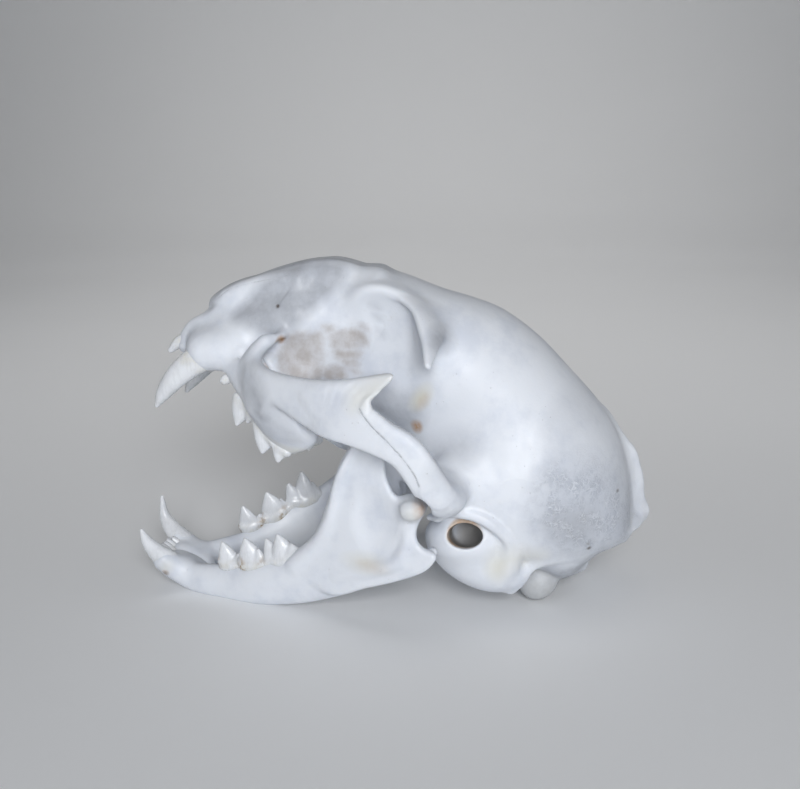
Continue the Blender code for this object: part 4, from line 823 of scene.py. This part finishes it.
def bone_material(name):
    """Dry, bleached bone: cloudy white with greyer places where the bone thins, pores, sutures and a few
    stains, and painted shade: darker in hollows, deep in the ear opening, on the top of the snout, under the
    front root of the cheek arch and round the knobs at the back.
    """
    g = Graph(name)
    cloud = g.noise(8, detail=6, rough=0.6)
    mottle = g.noise(2.6, detail=6, rough=0.65)
    fine = g.noise(0.9, detail=5)
    grain = g.noise(0.35, detail=3, coords=g.stretch((1.0, 0.35, 1.0)))
    # grey where the bone thins, and painted shade on the top of the snout, under the cheek arch's front root,
    # round the knobs at the back and deep in the ear
    thin = g.times(g.layer("thin"), g.span(mottle, 0.3, 0.7, 0.72, 1.05))
    window = g.span(g.math("MULTIPLY_ADD", g.noise(0.7, detail=3), 0.35, g.layer("tan")), 0.3, 1.2)
    # white threads in the crackled bone at the back of the skull
    fibre = g.math("ABSOLUTE", g.math("SUBTRACT", g.noise(1.8, detail=4, rough=0.6, twist=1.2), 0.5))
    cell = g.cells(1.7, "DISTANCE_TO_EDGE", coords=g.warped(2.0, 4.0))
    thread = g.math("MAXIMUM", g.span(fibre, 0.0, 0.03, 1.0, 0.0), g.span(cell, 0.01, 0.09, 0.6, 0.0))
    thread = g.times(thread, g.times(g.layer("rough"), g.span(mottle, 0.40, 0.60)))
    # sutures wander about their line
    wander = g.math("MULTIPLY_ADD", g.noise(1.2, detail=4), 0.4, g.layer("suture"))
    suture = g.span(wander, 0.24, 0.42, 1.0, 0.0)
    # painted shade: how far a corner lies in a hollow
    hollow = g.span(g.layer("open"), -0.5, -0.08, 1.0, 0.0)
    pore = g.times(g.span(g.cells(1.1), 0.06, 0.11, 1.0, 0.0), g.span(g.noise(7, detail=2), 0.54, 0.64))
    # dark specks, and painted shade deep in the ear opening
    speck = g.layer("speck")
    colour = g.coat(
        g.mix(g.span(cloud, 0.42, 0.72, 0.0, 0.6), WHITE, GREY),
        (g.times(g.layer("rough"), g.span(mottle, 0.38, 0.6, 0.55, 1.0)), shade(GREY, 0.82)),
        # one grey coat for thin bone and for painted shade
        (g.math("MINIMUM", thin, 1.0), TRANSLUCENT_AND_SHADE),
        (g.times(window, g.span(mottle, 0.3, 0.7, 0.5, 0.9)), TAN),
        (g.times(g.layer("cream"), 0.9), CREAM),
        (g.times(g.layer("amber"), g.span(fine, 0.3, 0.7, 0.6, 1.0)), AMBER),
        (g.times(thread, 0.75), WHITE),
        (g.times(suture, 0.45), shade(TRANSLUCENT_AND_SHADE, 0.8)),
        (g.times(hollow, 0.4), shade(CREAM, 0.7)),     # painted shade: darker cream in the hollows
        (g.times(pore, 0.2), DARK),
        (speck, DARK))
    relief = g.math("ADD", g.times(fine, 0.6), g.times(grain, 0.4))
    normal = g.bump(g.times(relief, g.math("MULTIPLY_ADD", g.layer("rough"), 2.0, 1.0)), 0.05, 0.5)
    normal = g.bump(g.math("ADD", thread, g.times(cloud, 1.5)), 0.10, 0.6, below=normal)
    normal = g.bump(g.math("MAXIMUM", suture, g.math("MAXIMUM", pore, speck)), -0.10, 0.8, below=normal)
    return g.finish(colour, g.span(mottle, 0.3, 0.7, 0.40, 0.55), normal, **SKIN_DEPTH)


def enamel_material(name):
    """Glossy tooth crowns with stained necks."""
    g = Graph(name)
    streak = g.noise(0.5, detail=3, coords=g.stretch((1.0, 1.0, 0.15)))
    neck = g.times(g.layer("neck"), g.span(g.noise(1.6, detail=4), 0.3, 0.75))
    tartar = g.layer("tartar")
    colour = g.coat(
        g.mix(g.span(g.noise(3, detail=4), 0.35, 0.7), ENAMEL, shade(ENAMEL, 0.88)),
        (g.times(neck, 0.55), CREAM),
        (g.times(tartar, g.span(g.noise(0.9, detail=4), 0.38, 0.62)), BROWN))
    normal = g.bump(g.times(tartar, g.noise(0.4, detail=3)), 0.1, 0.8, below=g.bump(streak, 0.015, 0.3))
    gloss = {**SKIN_DEPTH, "Subsurface Weight": 0.15}
    return g.finish(colour, g.span(streak, 0.3, 0.7, 0.22, 0.36), normal, **gloss)


def floor_material():
    g = Graph("studio_floor")
    fine = g.noise(2.0, detail=6)
    colour = g.mix(g.noise(140, detail=3), (0.86, 0.87, 0.88), (0.89, 0.90, 0.91))
    return g.finish(colour, g.span(fine, 0.3, 0.7, 0.75, 0.85), g.bump(fine, 0.03, 0.3))


# ------------------------ the pieces of the skull

SUTURES = [  # how far out from the middle each one starts, how faint it is, and its line in (y, z)
    (12, 0.16, [(63.1, 24.3), (66.2, 22.4), (68.2, 21), (70, 17.8), (74, 12)]),
    (27, 0, PLATE_SEAM),
    (6, 0.1, [(4.4, 0.4), (5.6, -0.1), (7.5, -0.5), (8.7, -0.2), (9.4, 0.5)]),
    (3, 0.1, [(2.5, 10.1), (3.6, 13.5), (5.2, 15.7), (8.1, 18.9), (12, 23)])]
# zones of colour, and of painted shade, as outlines in (y, z)
# the top of the snout near the middle, greyed as painted shade
SHADED_NOSE_TOP = [(0, 10), (2, 20), (12, 32), (26, 35), (26, 26), (14, 18), (6, 8)]
# the hollow face under the front root of the cheek arch, greyed as painted shade
SHADE_UNDER_STRUT = [(13.9, 8.4), (16.2, 9.6), (17.3, 7.6), (20.2, 5.2), (23.6, 3.6), (28.4, 2.6), (28, 0.6),
         (22.8, -1), (19, 1.6), (15.4, 4.4)]
GREY_BROW = [(7.9, 18.3), (9.8, 22.7), (14.2, 27.6), (18.2, 29.7), (20, 27.3), (19.4, 23.1),
             (18.3, 17.9), (17.4, 14.5), (15.5, 11.5), (10, 10.5), (7.2, 9.8), (7.5, 14)]
THIN_WALL = [(17, 8.8), (16.5, 12.4), (19.3, 16.5), (22.9, 20), (27, 23.2), (30, 22.4),
             (31, 18.4), (32.2, 15.8), (29, 11), (22.9, 6.6), (18.5, 6.8)]
WINDOWS = [           # where the wall of the eye socket is so thin that it looks dark
    [(17.9, 14.4), (21, 16.6), (22.6, 17.2), (24.6, 13.6), (27, 10.6), (24.2, 8), (20.4, 7.2), (17.9, 10.2)],
    [(23.8, 17.9), (24.6, 19.4), (28, 22), (30.2, 21), (29.6, 19.6), (26.2, 16.9)],
    [(26.3, 16.4), (28.2, 17.8), (29.8, 18.9), (30.6, 18), (29.2, 16.9), (27.3, 15.5)],
    [(28.3, 15.7), (29.8, 16.9), (31.2, 16.5), (30.2, 15.4), (29, 15)],
    [(29.9, 14.8), (30.8, 15.8), (32.3, 15.8), (31.4, 14.8)],
    [(27, 22.9), (27.9, 23.6), (29.1, 23.1), (28.2, 22.3)],
    [(21.5, 18.8), (22.6, 19.6), (23.9, 19.3), (22.9, 18.2)],
    [(26.6, 12.4), (29.2, 14.5), (30.6, 12.8), (28, 10.2)]]
SOCKET_FROM = 6      # how far out from the middle the wall of the eye socket is, at least
FAINT_WINDOWS = [
    [(26.4, 27), (27.5, 27.9), (28.8, 27.6), (27.8, 26.8)],
    [(27.8, 26), (29.4, 26.6), (30.6, 25.8), (29, 25.2)],
    [(29.6, 24.4), (31.4, 24.6), (32, 23.4), (30.2, 23.2)]]
BEHIND_EYE = [(33, 14.4), (36.5, 17.8), (39.5, 17.6), (42.6, 19.8), (45.6, 17), (45.9, 13.6),
              (41, 11), (35, 10)]
CRACKLED = [(68.6, 18.2), (68, 24.2), (76.7, 28.4), (88.8, 25.4), (91.6, 22.5), (87.9, 15.6),
            (79.4, 12), (72, 13.4)]
THIN_VAULT = [(65.2, 23), (62.5, 31), (66, 36), (78, 33), (90, 26), (92.5, 21), (88, 15), (79, 11.5),
              (70.6, 13.5), (68.4, 19)]
DUSKY = [(73.4, 16.3), (74.8, 19.2), (79.4, 20.6), (81.4, 17.4), (79.3, 15.1), (75.8, 14.3)]
TEMPLE = [(50.6, 14), (52.1, 18.2), (55, 19.2), (55.8, 16.9), (53.3, 13.6)]
GROOVE = [(69.9, 3), (70.1, 6), (72.2, 7.4), (76.7, 9.7), (77.6, 8.1), (74.2, 4.7), (73.1, 1.2)]
TOOTH_BONE = [(24.5, -1.6), (25.9, 2.6), (30.8, 2.8), (32.8, 2.5), (32.8, -0.5), (30.7, -3.2), (29, -3.6)]
SPUR = [(32.2, 15.9), (33.8, 20.1), (35.9, 22.4), (36.5, 18.9), (35.9, 16), (33.9, 13.6)]
# grey of thin bone, and painted shade on the top of the snout and under the cheek arch's front root
GREY_AND_SHADE_ZONES = [  # strength, outline, from and to how far out from the middle, softness
    (0.9, GREY_BROW, 3, 12.4, 2.2), (0.9, DUSKY, 8, FAR, 5), (0.6, TEMPLE, 14, FAR, 5),
    (0.8, BEHIND_EYE, 9, 19, 3), (0.7, SHADE_UNDER_STRUT, 12, FAR, 3.5), (0.6, SHADED_NOSE_TOP, -1, 4.6, 3),
    (0.22, THIN_VAULT, 4, FAR, 3)]
CREAM_ZONES = [(0.5, GROOVE, 12, FAR, 4), (0.5, TOOTH_BONE, 9, 17.5, 3), (0.45, SPUR, 26, FAR, 3)]
# the first patch greys the knobs at the back and the rim between them: partly their greyish bone, partly
# painted shade under the crest
GREY_AND_SHADE_PATCHES = [  # strength, centre, radii
    (2.6, (8, 85, 3), (11, 9, 9)), (1.2, (11, 87, 10), (9, 6, 7)), (1.3, (19, 40.5, 30.5), (7, 4, 4.5))]
CREAM_PATCHES = [(0.5, (8, 82.4, 2), (7, 6, 6)), (0.5, (13, 19.6, -1.6), (3, 3, 2)),
                 (1, (15, 43.4, 19), (4, 2.2, 4)), (0.4, (18.5, 71.9, 2.6), (4, 3, 3))]
AMBER_PATCHES = [(1.9, (11.2, 16.9, 12.4), (2.4, 1, 1.4)), (1.4, (12.6, 18.6, 7.8), (2.6, 2.2, 1.6)),
                 (2.2, (15, 45.8, 13.8), (4, 1.7, 2)), (0.5, (16, 44.1, 18.4), (3, 1.4, 3))]
DARK_SPECKS = [(1, (9.2, 13, 16.9), (3, 0.45, 0.45)), (0.7, (3, 6.5, 0.6), (1, 1.9, 1.6)),
               (0.6, (5, 20, 0.4), (0.7, 1, 1.6)), (1, (12, 81.9, 25.9), (4, 0.5, 0.5)),
               (1, (14.5, 82.6, 15.5), (4, 0.9, 0.7)), (1, (15, 83.6, 14.8), (4, 0.6, 0.6))]
JAW_CREAM = [(0.7, (27, 3.6, 26), (5, 3, 3)), (0.6, (22.6, -5, 14.6), (4, 7, 2.6)),
             (0.5, (7.5, -45.2, 6.8), (3, 2.2, 2.2))]
JAW_AMBER = [(0.8, (27.5, 5.4, 27), (3.5, 2.4, 3)), (0.22, (23, -3, 14.2), (3, 5, 1.6)),
             (0.6, (7.5, -45.4, 5.6), (2.2, 1, 0.9))]
JAW_SPOT = [(0.6, (7.5, -45.4, 5.4), (2.2, 0.9, 0.8))]
NO_SEAM = 9      # a distance from the nearest seam that leaves none to see
CRANIUM_NODES = ["rostrum", "orbital_region", "braincase", "occiput", "zygomatic_arch_left",
                 "zygomatic_arch_right", "auditory_bulla_left", "auditory_bulla_right"]


def seam_distance(verts, inner, faint, line):
    """Distance in mm from the line of a suture, as seen from the side, where x is past inner."""
    away = line_distance(verts * (0, 1, 1), [(0, y, z) for y, z in line])
    return np.where(np.abs(verts[:, 0]) > inner, away + faint, NO_SEAM)


def beside(y, place, width):
    """1 at a place along the row of teeth, and near 0 past width from it."""
    return np.exp(-((y - place) / width) ** 2)


def middle_seams(verts):
    """Distance in mm from the wandering seams along the middle of palate and brow, and across the palate."""
    x, y, z = verts.T
    wander = np.abs(x - 0.2 * np.sin(1.7 * y) - 0.12 * np.sin(4.1 * y))
    palate, brow = (y < 37) & (z < 4), (y > 2) & (y < 60) & (z > 8)
    bow = np.abs(y - 20.5 - 2.5 * np.cos(np.abs(x) / 3.2))
    along = np.where(palate | brow, wander + 0.08, NO_SEAM)
    across = np.where((z < 4) & (np.abs(x) < 9), bow + 0.05, NO_SEAM)
    return [along, across]


def ear_canal(verts):
    """How much each corner is on the wall of the ear opening, and deep in it, from 0 to 1."""
    x = np.abs(verts[:, 0])
    canal = np.clip((3.5 - line_distance(verts, EAR_AXIS)) / 0.5, 0, 1) * np.clip((20.9 - x) / 0.6, 0, 1)
    return canal, canal * np.clip((18.6 - x) / 1.4, 0, 1)


def cranium_layers(clay, verts):
    """What the look of the bone follows: open and suture in mm, the others from 0 to about 1."""
    canal, deep = ear_canal(verts)
    seams = [seam_distance(verts, *row) for row in SUTURES] + middle_seams(verts)
    front = np.clip((67.5 - verts[:, 1]) / 4, 0.25, 1)
    stains = {
        # grey: thin bone, with painted shade deep in the ear opening, on the top of the snout, under the
        # cheek arch's front root and round the knobs at the back
        "thin": (zones(verts, GREY_AND_SHADE_ZONES) + patches(verts, GREY_AND_SHADE_PATCHES)
                 + 0.4 * thin_spots(verts, FAINT_WINDOWS, 14, 1.6) + 0.8 * deep),
        "tan": (0.4 * zone(verts, THIN_WALL, SOCKET_FROM, 13.4, 3.5)
                + 0.65 * thin_spots(verts, WINDOWS, 13.4, 1.9)),
        "cream": zones(verts, CREAM_ZONES) + patches(verts, CREAM_PATCHES) + 0.5 * canal,
        "amber": patches(verts, AMBER_PATCHES) + canal * (0.75 - 0.6 * deep) * front,
        # dark specks, and painted shade deep in the ear opening
        "speck": 1.6 * (patches(verts, DARK_SPECKS) + 0.45 * deep),
        "rough": zone(verts, CRACKLED, 4, soft=6)}
    return {"open": opened(clay, verts), "suture": np.min(seams, axis=0),
            **{name: np.minimum(value, 1) for name, value in stains.items()}}


def jaw_layers(clay, verts):
    x, y, z = verts.T
    zero = np.zeros(len(verts))
    branch = np.clip((14 - x) / 6, 0, 1) * np.clip((y + 30) / 10, 0, 1)
    gum = np.interp(y, [-50, -36, -30, -18], [7.0, 8.6, 9.0, 12.5])
    stain = np.clip(1 - np.abs(z - gum) / 0.8, 0, 1) * beside(y, -30.4, 0.7)
    return {"open": opened(clay, verts), "suture": zero + NO_SEAM, "thin": zero, "tan": zero, "rough": zero,
            "cream": np.minimum(patches(verts, JAW_CREAM) + 0.3 * branch, 1),
            "amber": np.minimum(patches(verts, JAW_AMBER) + 0.6 * stain, 1),
            "speck": patches(verts, JAW_SPOT)}


def upper_tooth_layers(clay, verts):
    y, z = verts[:, 1], verts[:, 2]
    gum = np.interp(y, [2, 6, 16, 20, 30], [-0.6, -0.6, -0.4, -1.4, -2.8])
    return {"neck": np.clip(1 + (z - gum) / 1.6, 0, 1), "tartar": 0 * z}


def lower_tooth_layers(clay, verts):
    y, z = verts[:, 1], verts[:, 2]
    gum = np.interp(y, [-50, -44, -36, -30, -25, -18], [7.5, 6.5, 8.2, 8.8, 9.6, 12.0])
    low = np.clip(1 - (z - gum) / 2.6, 0, 1)
    between = (beside(y, -29.4, 0.7) + 0.7 * beside(y, -25.2, 0.8) + 0.6 * beside(y, -34.2, 0.4)
               + 0.5 * beside(y, -45.0, 0.6) * np.clip(9 - z, 0, 1))
    return {"neck": np.clip(1 - (z - gum) / 1.6, 0, 1), "tartar": np.clip(low * between * 1.1, 0, 1)}


def build_skull():
    bone, enamel = bone_material("dry_bone"), enamel_material("tooth_enamel")
    piece("cranium", whole_cranium(), CRANIUM_NODES, bone, cranium_pose(), cranium_layers)
    piece("upper_teeth", upper_row(), ["rostrum"], enamel, cranium_pose(), upper_tooth_layers)
    jaw = half_jaw()
    for side, sign, moved in (("left", 1, None), ("right", -1, right_side)):
        node = ["mandible_" + side]
        piece("jaw_" + side, jaw, node, bone, settled(), jaw_layers, moved)
        piece("lower_teeth_" + side, lower_row(sign), node, enamel, settled(), lower_tooth_layers, moved)


# ------------------------ studio

FLOOR_PROFILE = [(0.55, 0.0), (0.75, 0.03), (0.9, 0.12), (0.98, 0.28), (1.0, 0.6)]   # radius and height, m
FLOOR_RINGS, FLOOR_SIDES = 24, 96
LAMPS = [  # name, place, aim, width and height in m, power in W, colour, spread in degrees
    ("key", (0.55, 0.09, 0.25), (0, 0.01, 0.03), (0.22, 0.22), 2.8, (0.97, 0.98, 1.0), 180),
    ("fill", (0.25, -0.55, 0.22), (0, 0, 0.03), (0.4, 0.4), 0.10, (0.96, 0.98, 1.0), 180),
    ("floor_light", (-0.36, 0, 0.50), (-0.62, 0, 0), (0.5, 0.9), 0.75, (1.0, 0.99, 0.98), 100)]
AIR_COLOUR, AIR_STRENGTH = (0.78, 0.80, 0.84, 1), 0.05
SENSOR = 36.0              # width of the camera's sensor, mm


def studio():
    """A pale floor that sweeps up far behind the skull, on every side."""
    verts, faces = [(0, 0, 0)], []
    for r, z in curve(FLOOR_PROFILE, FLOOR_RINGS):
        for k in range(FLOOR_SIDES):
            a = 2 * np.pi * k / FLOOR_SIDES
            verts.append((r * np.cos(a), r * np.sin(a), max(z, 0)))
    for k in range(FLOOR_SIDES):
        n = (k + 1) % FLOOR_SIDES
        faces.append((0, 1 + k, 1 + n))
        for ring in range(FLOOR_RINGS - 1):
            a = 1 + ring * FLOOR_SIDES
            b = a + FLOOR_SIDES
            faces.append((a + k, b + k, b + n, a + n))
    mesh = bpy.data.meshes.new("floor")
    mesh.from_pydata(verts, [], faces)
    mesh.shade_smooth()
    mesh.materials.append(floor_material())
    floor = placed("floor", mesh)


def lights():
    for name, place, aim, size, power, colour, spread in LAMPS:
        data = bpy.data.lights.new(name, "AREA")
        data.shape = "RECTANGLE"
        data.size, data.size_y = size
        data.energy = power
        data.color = colour
        data.spread = np.radians(spread)
        obj = placed(name, data)
        obj.location = place
        obj.rotation_mode = "QUATERNION"
        obj.rotation_quaternion = (Vector(aim) - Vector(place)).to_track_quat("-Z", "Y")
    world = bpy.data.worlds.new("studio_air")
    bpy.context.scene.world = world
    world.use_nodes = True
    air = world.node_tree.nodes["Background"]
    air.inputs["Color"].default_value = AIR_COLOUR
    air.inputs["Strength"].default_value = AIR_STRENGTH


def camera():
    up, yaw = np.radians([CAMERA_UP, CAMERA_YAW])
    back = Vector((np.cos(yaw) * np.cos(up), np.sin(yaw) * np.cos(up), np.sin(up)))
    data = bpy.data.cameras.new("camera")
    data.sensor_width = SENSOR
    data.lens = SENSOR * PIXELS_PER_MM * DISTANCE / PICTURE_WIDTH
    data.clip_start, data.clip_end = 0.01, 10
    obj = placed("camera", data)
    look = (-back).to_track_quat("-Z", "Y").to_matrix().to_4x4()
    obj.matrix_world = settled() @ Matrix.Translation((Vector(AIM) + back * DISTANCE) * MM) @ look
    bpy.context.scene.camera = obj


build_skull()
studio()
lights()
camera()
bpy.context.scene.view_settings.view_transform = "Standard"
